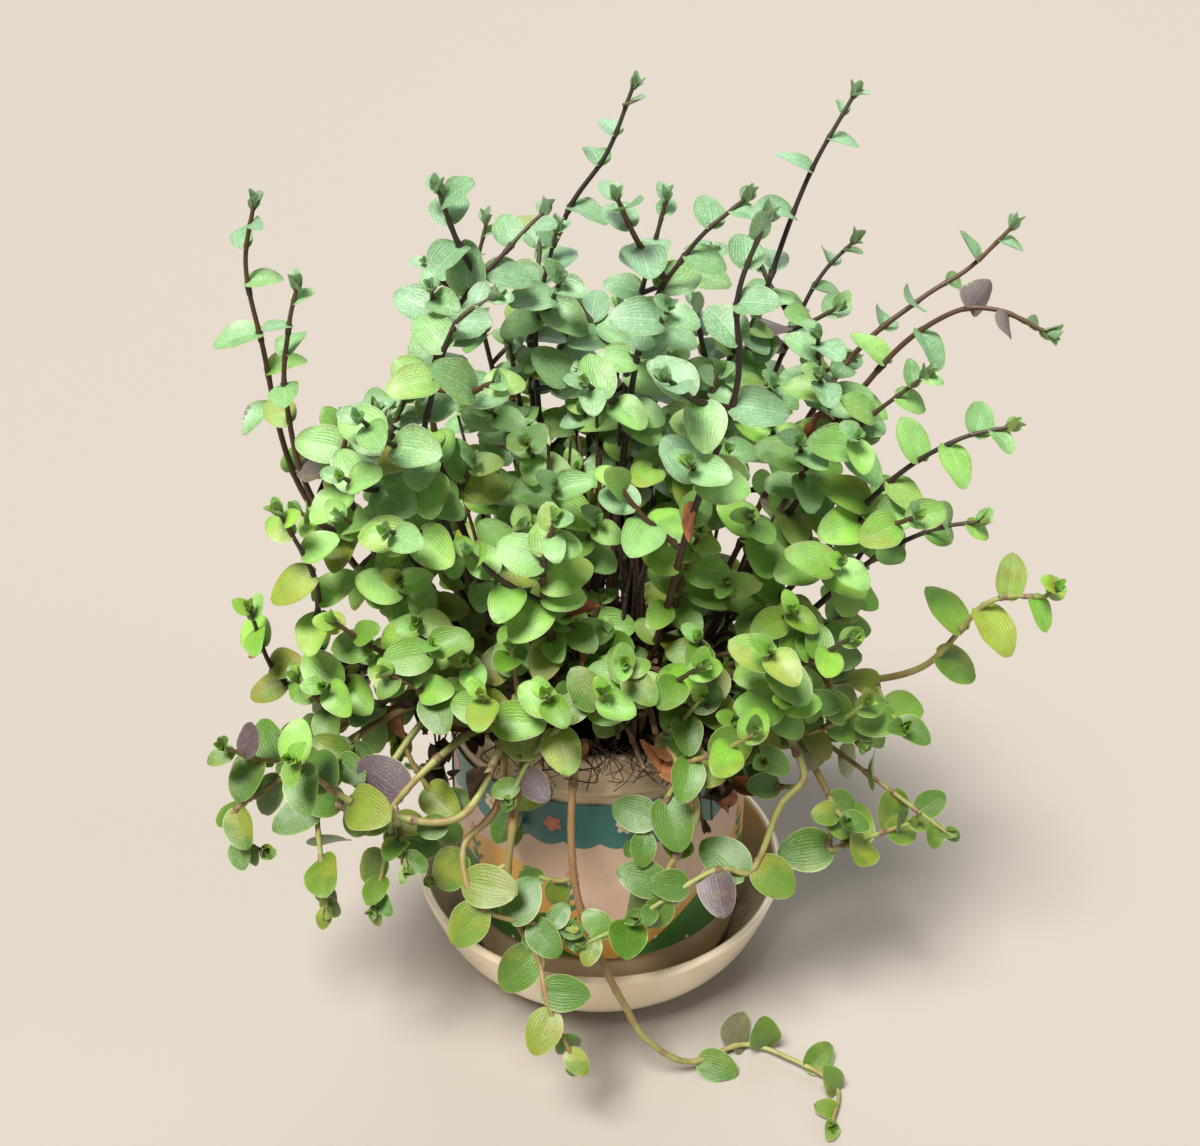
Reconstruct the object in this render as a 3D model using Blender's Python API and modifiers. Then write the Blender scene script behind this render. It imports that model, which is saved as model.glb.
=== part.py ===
"""A potted callisia: a creeping plant with round leaves in a printed tub, standing in a footed bowl.

Lengths are in millimetres until a mesh is made, where MM turns them into metres. +Z is up, the
origin is the middle of the bowl's underside, and the plant's front, where its stems trail, is -Y.
"""

import math
import random
from collections import namedtuple

import bmesh
import bpy
import numpy as np
from mathutils import Matrix, Vector
from mathutils.bvhtree import BVHTree

MM = 0.001

# Driving dimensions of the holders
ROUND_STEPS = 30
DISH_RADIUS = 67.5
DISH_HEIGHT = 38.0
DISH_FOOT_RADIUS = 40.0
DISH_FLOOR = 5.0
DISH_WALL = 3.0
POT_RADIUS = 51.5
POT_TOP = 116.0
POT_WALL = 1.4
POT_FLOOR = 2.0
RIM_RADIUS = 54.0
DRAIN_RADIUS = 3.0
DRAIN_CIRCLE = 24.0
DRAIN_COUNT = 3
LABEL_BOTTOM = 33.0
LABEL_TOP = 97.0
LABEL_THICKNESS = 0.6
FIT_GAP = 0.35

# The soil, and the plain holes that the stems stand in
SOIL_EDGE = 106.0
SOIL_CROWN = 109.0
HOLE_DEPTH = 11.0
HOLE_SIDES = 4
HOLE_GAP = 0.4

# The plant
SEED = 11
STEM_RADIUS = 1.15
TIP_RADIUS = 0.6
TRAILING_RADIUS = 1.45
BEND_TOLERANCE = {"upright": 1.5, "slender": 1.5, "trailing": 1.0}
LEAF_LENGTH = {"upright": 14.0, "slender": 12.8, "trailing": 15.2}
LEAF_WIDTH_SHARE = {"upright": 0.86, "slender": 0.78, "trailing": 0.86}
LEAF_DROOP = 0.12
LEAF_KEEL = 0.75
LEAF_HEEL = 0.53
LEAF_OUTLINE = (0.12, 0.45, 0.8)
SMALL_LEAF = 13.7
SMALL_LEAF_OUTLINE = (0.22, 0.66)
LIGHT = Vector((0, -0.62, 0.78))
TURN_TO_LIGHT = 0.65
# How far a blade faces along its stem (1) rather than the light (0)
FACING = {"upright": 0.0, "slender": 0.28, "trailing": 0.0}
CLEARANCE = 0.45

# Routes of the stems that give the plant its outline: where each leaves the soil, then the points
# that it passes, as (x, y, z). The last point is its tip.
Route = namedtuple("Route", "root points habit")
ROUTES = {
    "left_tall": Route((-34, 6), [(-68, 0, 138), (-94, -6, 185), (-99, -10, 233), (-100, -12, 255),
                                  (-95, -14, 272)], "slender"),
    "left_second": Route((-29, -4), [(-62, -12, 138), (-86, -20, 185), (-90, -24, 220),
                                     (-86, -27, 241), (-82, -28, 253)], "slender"),
    "left_curl": Route((-26, -13), [(-58, -26, 152), (-73, -31, 192), (-71, -36, 213),
                                    (-62, -39, 222)], "upright"),
    "left_green": Route((-20, -6), [(-43, -20, 140), (-57, -32, 178), (-58, -38, 212),
                                    (-53, -39, 225)], "upright"),
    "left_big": Route((-36, -11), [(-64, -24, 121), (-86, -31, 130), (-91, -36, 164),
                                   (-86, -40, 190)], "upright"),
    "left_low": Route((-40, 0), [(-64, -8, 121), (-94, -19, 115), (-107, -26, 130),
                                 (-110, -30, 152)], "upright"),
    "left_rosette": Route((-36, -19), [(-62, -29, 121), (-92, -37, 112), (-108, -45, 116),
                                       (-116, -53, 127)], "trailing"),
    "left_hang": Route((-30, -25), [(-58, -37, 121), (-92, -43, 110), (-107, -51, 98),
                                    (-114, -57, 88), (-109, -62, 80)], "trailing"),
    "left_dip": Route((-26, -30), [(-50, -44, 119), (-73, -53, 104), (-84, -60, 92),
                                   (-80, -65, 80)], "trailing"),
    "left_drop": Route((-21, -35), [(-40, -53, 118), (-59, -62, 105), (-69, -68, 92),
                                    (-68, -74, 78)], "trailing"),
    "runner": Route((-16, -37), [(-30, -57, 120), (-47, -67, 112), (-64, -75, 118),
                                 (-76, -82, 132), (-89, -88, 139)], "trailing"),
    "centre_tall": Route((-6, 15), [(-18, 18, 170), (-22, 20, 225), (-11, 22, 262),
                                    (2, 24, 281), (10, 26, 300)], "slender"),
    "centre_back": Route((-16, 27), [(-30, 37, 180), (-41, 44, 233), (-37, 45, 258)], "slender"),
    "arch_high": Route((-17, 3), [(-40, -12, 165), (-49, -20, 213), (-43, -16, 240),
                                  (-25, -6, 260), (-16, 0, 268)], "upright"),
    "arch_mid": Route((-9, 7), [(-17, 10, 175), (-20, 12, 228), (-13, 13, 261)], "upright"),
    "arch_low": Route((-14, -14), [(-36, -33, 158), (-48, -41, 206), (-45, -43, 228),
                                   (-38, -42, 246), (-28, -40, 253)], "upright"),
    "top_middle": Route((4, 3), [(6, 1, 178), (9, 0, 228), (19, 0, 272)], "upright"),
    "top_right": Route((1, -5), [(5, -8, 172), (12, -11, 234), (25, -14, 260),
                                 (40, -14, 274)], "upright"),
    "front_tall": Route((11, -20), [(20, -38, 160), (25, -46, 190), (35, -55, 232),
                                    (34, -57, 257), (40, -57, 276)], "upright"),
    "right_tall": Route((18, 9), [(40, 13, 198), (52, 15, 245), (62, 18, 275),
                                  (74, 20, 298)], "slender"),
    "right_back": Route((22, 23), [(50, 27, 190), (64, 30, 229), (72, 35, 243),
                                   (82, 38, 253)], "slender"),
    "right_long": Route((27, 4), [(57, 2, 188), (76, 0, 225), (95, 0, 243), (108, 0, 252),
                                  (119, 0, 264)], "slender"),
    "right_reach": Route((29, -5), [(60, -9, 186), (82, -13, 226), (97, -20, 243),
                                    (109, -25, 246), (122, -30, 241)], "slender"),
    "right_short": Route((23, -12), [(54, -18, 175), (73, -22, 208), (91, -28, 228)], "upright"),
    "right_spread": Route((28, -18), [(61, -28, 165), (82, -35, 198), (98, -40, 213),
                                      (112, -42, 218)], "upright"),
    "right_flat": Route((34, -13), [(62, -26, 148), (81, -33, 173), (95, -40, 186),
                                    (107, -45, 191)], "upright"),
    "right_low": Route((39, -8), [(60, -14, 120), (80, -20, 119), (97, -28, 137),
                                  (114, -35, 157), (127, -38, 167), (138, -40, 172)], "trailing"),
    "right_dip": Route((36, -20), [(54, -33, 120), (69, -44, 92), (72, -47, 77),
                                   (81, -52, 83), (94, -60, 97)], "trailing"),
    "right_drop": Route((39, -14), [(47, -17, 121), (60, -22, 119), (75, -31, 100), (84, -36, 91),
                                    (93, -38, 97)], "trailing"),
    "front_thick": Route((14, -36), [(21, -56, 121), (27, -63, 107), (21, -69, 86),
                                     (12, -75, 75), (-3, -81, 66)], "trailing"),
    "front_slant": Route((30, -28), [(47, -42, 121), (61, -51, 108), (56, -59, 96),
                                     (42, -67, 84), (30, -71, 80), (15, -75, 78)], "trailing"),
    "front_drop": Route((-9, -40), [(-21, -58, 120), (-27, -64, 104), (-25, -74, 79),
                                     (-20, -84, 60), (-15, -90, 50), (-10, -95, 34)], "trailing"),
    "table_run": Route((-1, -41), [(-6, -58, 121), (-9, -67, 101), (-7, -73, 76), (0, -76, 52),
                                   (9, -77, 35), (17, -76, 19), (28, -70, 6), (48, -61, 3),
                                   (64, -66, 3), (76, -79, 3), (73, -92, 3)], "trailing"),
    "front_cross": Route((-13, -32), [(-33, -52, 120), (-45, -60, 111), (-43, -64, 101),
                                      (-27, -71, 88), (-10, -78, 72)], "trailing"),
    "front_arc": Route((4, -31), [(0, -44, 129), (-10, -56, 131), (-20, -62, 123),
                                  (-26, -68, 113)], "trailing"),
    "left_fill": Route((-27, -19), [(-47, -36, 138), (-64, -47, 150), (-77, -52, 164)], "upright"),
    "left_front_fill": Route((-20, -27), [(-34, -46, 132), (-49, -58, 142),
                                          (-60, -63, 152)], "upright"),
    "right_fill": Route((26, -22), [(45, -40, 136), (60, -51, 148), (72, -56, 160)], "upright"),
    "front_rosette": Route((8, -28), [(7, -44, 130), (8, -58, 146), (7, -66, 157)], "upright"),
    "front_left_rosette": Route((-8, -26), [(-14, -44, 150), (-16, -56, 180),
                                            (-12, -61, 199)], "upright"),
    "top_fill": Route((9, 26), [(24, 24, 175), (37, 13, 213), (47, 4, 237)], "upright"),
}

# The stems inside the clump stand by a rule: a sunflower spiral over the soil, their tips on a dome
CROWN_COUNT = 16
GOLDEN_ANGLE = math.radians(137.508)
CROWN_ROOT_RADIUS = 38.0
CROWN_TIP_RADIUS = 92.0
CROWN_HEIGHT = 244.0
CROWN_FALL = 90.0
CROWN_BACK_SHARE = 0.55
CROWN_FRONT_DRAW_IN = 0.35


def smooth_route(before, controls, step=2.0):
    """Points about step apart on a curve through the controls, leaving the first from before."""
    ends = [before, *controls, 2 * controls[-1] - controls[-2]]
    path = []
    for a, b, c, d in zip(ends, ends[1:], ends[2:], ends[3:]):
        count = max(2, round((c - b).length / step))
        for i in range(count):
            t = i / count
            path.append(0.5 * (2 * b + (c - a) * t + (2 * a - 5 * b + 4 * c - d) * t * t
                               + (3 * b - a - 3 * c + d) * t ** 3))
    return [*path, controls[-1]]


def soil_height(radius):
    """Height of the soil's surface at this distance from the pot's axis."""
    return SOIL_CROWN + (SOIL_EDGE - SOIL_CROWN) * (radius / (POT_RADIUS - POT_WALL)) ** 2


def stem_path(root, points):
    """A stem stands upright in its hole, then follows its route."""
    x, y = root
    top = soil_height(math.hypot(x, y))
    foot = Vector((x, y, top - HOLE_DEPTH + 1))
    collar = Vector((x, y, top + 2.5))
    return [foot, *smooth_route(foot, [collar, *map(Vector, points)])]


def thin_path(path, tolerance):
    """The fewest of the path's points that stay within the tolerance of all of it."""
    if len(path) < 3:
        return list(path)
    start, end = path[0], path[-1]
    along = (end - start).normalized()
    away = [((p - start) - along * (p - start).dot(along)).length for p in path]
    worst = max(range(len(path)), key=away.__getitem__)
    if away[worst] < tolerance:
        return [start, end]
    return thin_path(path[:worst + 1], tolerance)[:-1] + thin_path(path[worst:], tolerance)


def stem_line(path, habit):
    """The bends of a stem: foot, collar at the soil, then the thinned path."""
    return [path[0], *thin_path(path[1:], BEND_TOLERANCE[habit])]


def crown_routes():
    """The rule's routes, named crown_01 onwards."""
    draw = random.Random(SEED)
    made = {}
    for i in range(CROWN_COUNT):
        angle = GOLDEN_ANGLE * i + 0.9
        angle += CROWN_BACK_SHARE * math.cos(angle)
        share = math.sqrt((i + 0.7) / CROWN_COUNT)
        across, front = math.cos(angle), math.sin(angle)
        root_radius = CROWN_ROOT_RADIUS * share
        tip_radius = CROWN_TIP_RADIUS * share * draw.uniform(0.88, 1.1)
        tip_radius *= 1 - CROWN_FRONT_DRAW_IN * max(0, -front)
        tip_height = CROWN_HEIGHT - CROWN_FALL * share ** 1.5 + draw.uniform(-9, 9)
        base = soil_height(root_radius)
        points = [(across * (root_radius + (tip_radius - root_radius) * reach),
                   front * (root_radius + (tip_radius - root_radius) * reach),
                   base + (tip_height - base) * rise)
                  for reach, rise in ((0.3, 0.4), (0.68, 0.75), (1.0, 1.0))]
        root = (across * root_radius, front * root_radius)
        made[f"crown_{i + 1:02d}"] = Route(root, points, "upright")
    return made


def blocked(point, radius):
    """True where a stem of this radius would touch the bowl, the pot, the soil or the table."""
    across = math.hypot(point.x, point.y)
    gap = radius + CLEARANCE
    if point.z < gap:
        return True
    if across < POT_RADIUS - POT_WALL - gap:
        return point.z < soil_height(across)
    in_dish = across < DISH_RADIUS + gap and point.z < DISH_HEIGHT + gap
    in_pot = across < POT_RADIUS + LABEL_THICKNESS + FIT_GAP + gap and point.z < POT_TOP
    in_rim = across < RIM_RADIUS + gap and POT_TOP - 6 - gap < point.z < POT_TOP + gap
    return in_dish or in_rim or in_pot


def even_points(line, step=2.0):
    """Points about step apart on a bent line."""
    made = [line[0]]
    for a, b in zip(line, line[1:]):
        count = max(1, round((b - a).length / step))
        made += [a.lerp(b, (i + 1) / count) for i in range(count)]
    return made


def clear_of(points, radius, others):
    """True if a stem's points keep off the holders and every stem already laid."""
    if any(blocked(p, radius) for p in points[1:]):
        return False
    mine = np.array(points)
    for theirs, their_radius in others:
        gaps = np.linalg.norm(mine[:, None] - theirs[None], axis=2)
        if gaps.min() < radius + their_radius + 2 * CLEARANCE + 0.6:
            return False
    return True


def lay_stems():
    """Every stem's smooth path, each bent a little where it would cross one laid before."""
    paths, laid = {}, []
    for index, (name, route) in enumerate({**ROUTES, **crown_routes()}.items()):
        radius = TRAILING_RADIUS if route.habit == "trailing" else STEM_RADIUS
        draw = random.Random(SEED * 1000 + index)
        for attempt in range(400):
            sway = 0.08 * attempt
            moved = [Vector(p) + Vector([draw.uniform(-sway, sway) for _ in range(3)])
                     for p in route.points]
            root = [c + draw.uniform(-sway, sway) * 0.4 for c in route.root]
            path = stem_path(root, moved)
            points = path + even_points(stem_line(path, route.habit)[1:])
            if clear_of(points, radius, laid):
                break
        else:
            print("no clear way for", name)
            continue
        paths[name] = (path, route.habit)
        laid.append((np.array(points), radius))
    return paths


def stem_radius(habit, share):
    """The stem's radius at this share of its length; it thins towards the tip."""
    full = TRAILING_RADIUS if habit == "trailing" else STEM_RADIUS
    return full + (TIP_RADIUS - full) * max(0.0, (share - 0.35) / 0.65) ** 1.5


Leaf = namedtuple("Leaf", "stem order base axis side normal length width cup age")

# Distance from the tip to each leaf, size of each leaf, and how far it leans off the stem in degrees
LEAF_STEPS = (0.5, 4.2, 9.8, 17.5, 26.5, 36.5, 47.5, 59, 71, 83, 95)
LEAF_SIZES = (0.42, 0.56, 0.76, 0.92, 1, 1, 1, 1, 0.96, 0.92, 0.88)
LEAF_LEANS = (28, 44, 60, 68, 72, 76, 78, 80, 84, 86, 88)
LEAF_COUNT = {"upright": 8, "slender": 8, "trailing": 7}
LEAF_TRIES = ((0, 0, 1.0), (18, 5, 1.0), (-18, -6, 1.0), (36, 8, 0.94), (-36, -10, 0.94),
              (60, 10, 0.88), (-60, 0, 0.88), (95, 4, 0.82), (-95, 12, 0.82), (140, 0, 0.76),
              (25, -22, 0.72), (-25, 24, 0.72))
LEAF_TURN = math.radians(204)


def across_share(along):
    """Half width of the leaf's outline at this share of its length, as a share of the widest."""
    return math.sin(math.pi * min(1.0, along) ** 0.72) ** 0.62 if 0 < along < 1 else 0.0


def leaf_point(leaf, along, across, lift=0.0):
    """A point of the leaf's middle surface: cupped across, and curling down towards its tip."""
    y = across * leaf.width / 2 * across_share(along)
    z = leaf.cup * y * y / leaf.width - LEAF_DROOP * leaf.length * along ** 2 + lift
    return leaf.base + leaf.axis * (along * leaf.length) + leaf.side * y + leaf.normal * z


def leaf_shape(leaf, swell=1.0, lift=0.0):
    """Vertices and faces of a plump blade, whose pointed heel sinks into the stem."""
    verts = [leaf.base - leaf.axis * LEAF_HEEL]
    for along in SMALL_LEAF_OUTLINE if leaf.length < SMALL_LEAF else LEAF_OUTLINE:
        verts += [leaf_point(leaf, along, -swell, lift), leaf_point(leaf, along, swell, lift)]
    verts.append(leaf_point(leaf, swell, 0, lift))
    keel = len(verts)
    tip = keel - 1
    verts.append(leaf_point(leaf, 0.45, 0, -LEAF_KEEL - lift))
    right, left = list(range(1, tip, 2)), list(range(2, tip, 2))
    faces = [(0, right[0], left[0]), (left[-1], right[-1], tip)]
    faces += [(a, b, d, c) for a, b, c, d in zip(right, right[1:], left, left[1:])]
    rim = [0, *left, tip, *reversed(right)]
    faces += [(keel, a, b) for a, b in zip(rim, rim[1:] + rim[:1])]
    return verts, faces


def along_line(line, distance):
    """The point this far back from the tip of a bent line, and the line's direction there."""
    for index in range(len(line) - 1, 0, -1):
        part = line[index] - line[index - 1]
        if distance <= part.length or index == 1:
            return line[index] - part.normalized() * distance, part.normalized()
        distance -= part.length


def leaf_frame(line, distance, turn, lean, facing):
    """Where a leaf joins the stem, and its axis, side and face directions."""
    base, along = along_line(line, distance)
    start = along.cross(Vector((0.35, 0.2, 1)) if abs(along.z) < 0.9 else Vector((1, 0, 0)))
    start.normalize()
    lateral = start * math.cos(turn) + along.cross(start) * math.sin(turn)
    axis = lateral * math.sin(lean) + along * math.cos(lean)
    light = (LIGHT + Vector((base.x, base.y, 0)) / 250).normalized()
    light = light.lerp(along, facing).normalized()
    axis = (axis - light * axis.dot(light) * TURN_TO_LIGHT).normalized()
    normal = light - axis * light.dot(axis)
    if normal.length < 0.05:
        normal = along - axis * along.dot(axis)
    normal.normalize()
    return base, axis, normal.cross(axis), normal


def tube_shape(path, radius):
    """A coarse square tube round a path, to test leaves against."""
    verts, faces = [], []
    for i, point in enumerate(path):
        along = (path[min(i + 1, len(path) - 1)] - path[max(i - 1, 0)]).normalized()
        a = along.orthogonal().normalized() * radius
        b = along.cross(a)
        verts += [point + a, point + b, point - a, point - b]
        if i:
            n = 4 * i
            faces += [(n + j - 4, n + (j + 1) % 4 - 4, n + (j + 1) % 4, n + j) for j in range(4)]
    return verts, faces


def leaf_fits(leaf, tree, verts, leaves, tubes):
    """True if a swollen copy of the leaf meets no holder, no other stem and no other leaf."""
    if any(blocked(v, 0.3) or v.z < soil_height(math.hypot(v.x, v.y)) + 1
           and math.hypot(v.x, v.y) < POT_RADIUS for v in verts[2:]):
        return False
    middle = leaf.base + leaf.axis * leaf.length / 2
    for name, tube in tubes.items():
        if name != leaf.stem and tube.overlap(tree):
            return False
    for other, other_tree in leaves:
        reach = (leaf.length + other.length) / 2 + 3
        apart = middle - (other.base + other.axis * other.length / 2)
        if apart.length < reach and other_tree.overlap(tree):
            return False
    return True


def grow_leaves(paths):
    """Leaves up every stem, tips first, each turned or made smaller until it is clear."""
    tubes = {}
    for name, (path, habit) in paths.items():
        reach = stem_radius(habit, 0) + 2 * CLEARANCE
        tubes[name] = BVHTree.FromPolygons(*tube_shape(stem_line(path, habit), reach))
    leaves = []
    for order, distance in enumerate(LEAF_STEPS):
        for index, (name, (path, habit)) in enumerate(paths.items()):
            draw = random.Random(SEED * 7919 + index * 101 + order)
            line = stem_line(path, habit)
            length = sum((b - a).length for a, b in zip(line, line[1:]))
            spread = min(1.5, max(0.85, length / 150)) * draw.uniform(0.92, 1.08)
            if order >= LEAF_COUNT[habit] or distance * spread > length - 30:
                continue
            turn = LEAF_TURN * order + index * 1.7 + draw.uniform(-0.3, 0.3)
            lean = LEAF_LEANS[order] + draw.uniform(-8, 8)
            size = LEAF_LENGTH[habit] * LEAF_SIZES[order] * draw.uniform(0.88, 1.08)
            cup = draw.uniform(0.25, 0.75)
            for add_turn, add_lean, scale in LEAF_TRIES:
                frame = leaf_frame(line, distance * spread, turn + math.radians(add_turn),
                                   math.radians(lean + add_lean), FACING[habit])
                leaf = Leaf(name, order, *frame, size * scale,
                            size * scale * LEAF_WIDTH_SHARE[habit], cup, order / 8)
                verts, faces = leaf_shape(leaf, 1.08, CLEARANCE)
                tree = BVHTree.FromPolygons(verts, faces)
                if leaf_fits(leaf, tree, verts, leaves, tubes):
                    leaves.append((leaf, tree))
                    break
    return [leaf for leaf, _ in leaves]


# Blender objects

def material(name, colour, roughness, metallic=0.0):
    made = bpy.data.materials.new(name)
    made.use_nodes = True
    shader = made.node_tree.nodes["Principled BSDF"]
    shader.inputs["Base Color"].default_value = (*colour, 1)
    shader.inputs["Roughness"].default_value = roughness
    shader.inputs["Metallic"].default_value = metallic
    return made


def mesh_object(name, verts, faces, collection, finish=None):
    """A mesh object from points in millimetres."""
    mesh = bpy.data.meshes.new(name)
    mesh.from_pydata([Vector(v) * MM for v in verts], [], faces)
    made = bpy.data.objects.new(name, mesh)
    collection.objects.link(made)
    if finish:
        mesh.materials.append(finish)
    return made


def turned(name, profile, collection, finish, steps=ROUND_STEPS):
    """A round piece from a closed profile of (radius, height) points, spun with a Screw."""
    edges = [(i, (i + 1) % len(profile)) for i in range(len(profile))]
    if profile[0][0] == 0 and profile[-1][0] == 0:
        edges.pop()
    mesh = bpy.data.meshes.new(name)
    mesh.from_pydata([(r * MM, 0, z * MM) for r, z in profile], edges, [])
    made = bpy.data.objects.new(name, mesh)
    collection.objects.link(made)
    mesh.materials.append(finish)
    screw = made.modifiers.new("Screw", "SCREW")
    screw.steps = screw.render_steps = steps
    screw.use_merge_vertices = True
    screw.merge_threshold = 0.00001
    screw.use_smooth_shade = True
    return made


def subtract(target, cutters, solver="EXACT"):
    """Cuts a collection of helper solids out of the target."""
    cut = target.modifiers.new("Cut", "BOOLEAN")
    cut.operation = "DIFFERENCE"
    cut.operand_type = "COLLECTION"
    cut.collection = cutters
    cut.solver = solver


def cutter(name, x, y, radius, low, high, collection):
    """A plain upright prism that makes a hole."""
    bm = bmesh.new()
    bmesh.ops.create_cone(bm, cap_ends=True, segments=HOLE_SIDES, radius1=radius * MM,
                          radius2=radius * MM, depth=(high - low) * MM)
    mesh = bpy.data.meshes.new(name)
    bm.to_mesh(mesh)
    bm.free()
    made = bpy.data.objects.new(name, mesh)
    made.location = Vector((x, y, (low + high) / 2)) * MM
    made.hide_render = True
    made.display_type = "WIRE"
    collection.objects.link(made)


def make_dish(collection):
    """A footed bowl with a rounded lip."""
    outside = [(DISH_RADIUS - 1.0, DISH_HEIGHT), (DISH_RADIUS, DISH_HEIGHT - 1.5),
               (65.2, 29.0), (60.6, 18.0), (53.0, 9.0), (44.0, 2.6), (DISH_FOOT_RADIUS, 0.0), (0, 0.0)]
    inside = [(0, DISH_FLOOR), (44.0, DISH_FLOOR), (50.4, 10.5), (59.6, 23.0),
              (DISH_RADIUS - DISH_WALL, DISH_HEIGHT - 0.6)]
    profile = [*inside, *outside]
    return turned("dish", profile, collection,
                  material("dish_glaze", (0.78, 0.66, 0.5), 0.35))


def make_pot(collection, cutters):
    """A round-bottomed tub with a rolled rim and drain holes."""
    base = DISH_FLOOR + FIT_GAP
    inner = POT_RADIUS - POT_WALL
    outside = [(RIM_RADIUS - 0.6, POT_TOP), (RIM_RADIUS, POT_TOP - 3.0), (POT_RADIUS, POT_TOP - 4.4),
                (POT_RADIUS, base + 12), (48.0, base + 4.0),
               (43.0, base)]
    inside = [(42.0, base + POT_FLOOR), (inner, base + 11), (inner, POT_TOP)]
    profile = [(0, base + POT_FLOOR), *inside, *outside, (0, base)]
    made = turned("pot", profile, collection, material("pot_plastic", (0.8, 0.68, 0.52), 0.45))
    for i in range(DRAIN_COUNT):
        angle = 2 * math.pi * (i + 0.5) / DRAIN_COUNT
        cutter(f"drain_cutter_{i}", DRAIN_CIRCLE * math.cos(angle), DRAIN_CIRCLE * math.sin(angle),
               DRAIN_RADIUS, base - 2, base + POT_FLOOR + 2, cutters)
    subtract(made, cutters)
    return made


def make_label(collection):
    """The printed sleeve round the tub."""
    inner = POT_RADIUS + FIT_GAP
    outer = inner + LABEL_THICKNESS
    profile = [(inner, LABEL_BOTTOM), (inner, LABEL_TOP), (outer, LABEL_TOP), (outer, LABEL_BOTTOM)]
    return turned("printed_sleeve", profile, collection,
                  material("sleeve_print", (0.2, 0.38, 0.3), 0.5))


def make_soil(collection, cutters, paths):
    """The soil that fills the tub, with a plain hole for each stem."""
    wall = POT_RADIUS - POT_WALL - FIT_GAP
    floor = DISH_FLOOR + FIT_GAP + POT_FLOOR + FIT_GAP
    top = [(wall * share, soil_height(wall * share)) for share in (0.0, 0.5, 1.0)]
    profile = [*top, (wall, floor + 10.0), (41.5, floor), (0, floor)]
    made = turned("soil", profile, collection, material("soil", (0.07, 0.045, 0.03), 0.95),
                  ROUND_STEPS // 2)
    for name, (path, habit) in paths.items():
        root = path[0]
        hole = (stem_radius(habit, 0) + HOLE_GAP) / math.cos(math.pi / HOLE_SIDES)
        cutter(f"hole_{name}", root.x, root.y, hole, root.z - FIT_GAP - 0.6, root.z + 30, cutters)
    subtract(made, cutters)
    return made


def make_tube(name, path, habit, collection, finish):
    """The stem's round tube, as a closed mesh."""
    rings = stem_line(path, habit)
    length = sum((b - a).length for a, b in zip(rings, rings[1:]))
    curve = bpy.data.curves.new(name, "CURVE")
    curve.dimensions = "3D"
    curve.bevel_depth = 1 * MM
    curve.bevel_resolution = 0
    curve.use_fill_caps = True
    spline = curve.splines.new("POLY")
    spline.points.add(len(rings) - 1)
    walked = 0.0
    for point, ring, last in zip(spline.points, rings, [rings[0], *rings]):
        walked += (ring - last).length
        point.co = (*(ring * MM), 1)
        point.radius = stem_radius(habit, walked / length)
    guide = bpy.data.objects.new(name + "_curve", curve)
    collection.objects.link(guide)
    bpy.context.view_layer.update()
    graph = bpy.context.evaluated_depsgraph_get()
    mesh = bpy.data.meshes.new_from_object(guide.evaluated_get(graph))
    bm = bmesh.new()
    bm.from_mesh(mesh)
    bmesh.ops.remove_doubles(bm, verts=bm.verts, dist=0.000001)
    bmesh.ops.recalc_face_normals(bm, faces=bm.faces)
    bm.to_mesh(mesh)
    bm.free()
    mesh.materials.clear()
    mesh.materials.append(finish)
    made = bpy.data.objects.new(name, mesh)
    made.matrix_world = guide.matrix_world
    collection.objects.link(made)
    bpy.data.objects.remove(guide)
    return made


def make_leafy_stem(name, path, habit, leaves, collection, finish):
    """One stem joined with its leaves by a single Boolean union."""
    stem = make_tube("stem_" + name, path, habit, collection, finish)
    blades = bpy.data.collections.new("blades_" + name)
    bpy.context.scene.collection.children.link(blades)
    for leaf in leaves:
        mesh_object(f"blade_{name}_{leaf.order}", *leaf_shape(leaf), blades, finish)
    if leaves:
        join = stem.modifiers.new("Join", "BOOLEAN")
        join.operation = "UNION"
        join.operand_type = "COLLECTION"
        join.collection = blades
        join.solver = "MANIFOLD"
        bpy.context.view_layer.update()
        graph = bpy.context.evaluated_depsgraph_get()
        joined = bpy.data.meshes.new_from_object(stem.evaluated_get(graph))
        stem.modifiers.clear()
        stem.data = joined
    for blade in list(blades.objects):
        bpy.data.objects.remove(blade)
    bpy.data.collections.remove(blades)
    return stem


def new_collection(name, parent):
    made = bpy.data.collections.new(name)
    parent.children.link(made)
    return made


def main():
    for old in list(bpy.data.objects):
        bpy.data.objects.remove(old)
    scene = bpy.context.scene.collection
    plant = new_collection("potted_callisia", scene)
    drains = new_collection("drain_cutters", scene)
    holes = new_collection("hole_cutters", scene)
    paths = lay_stems()
    leaves = grow_leaves(paths)
    print(len(paths), "stems", len(leaves), "leaves")
    make_dish(plant)
    make_pot(plant, drains)
    make_label(plant)
    make_soil(plant, holes, paths)
    green = material("callisia", (0.2, 0.42, 0.14), 0.4)
    for name, (path, habit) in paths.items():
        own = [leaf for leaf in leaves if leaf.stem == name]
        make_leafy_stem(name, path, habit, own, plant, green)


main()
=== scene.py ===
"""A potted callisia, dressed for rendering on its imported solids.

Lengths are in millimetres until a mesh is made, where MM turns them into metres. +Z is up and the
plant's front, where its stems trail, is -Y.
"""

import math
import random
from collections import namedtuple

import bpy
import numpy as np
from mathutils import Matrix, Vector
from mathutils.bvhtree import BVHTree


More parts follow.
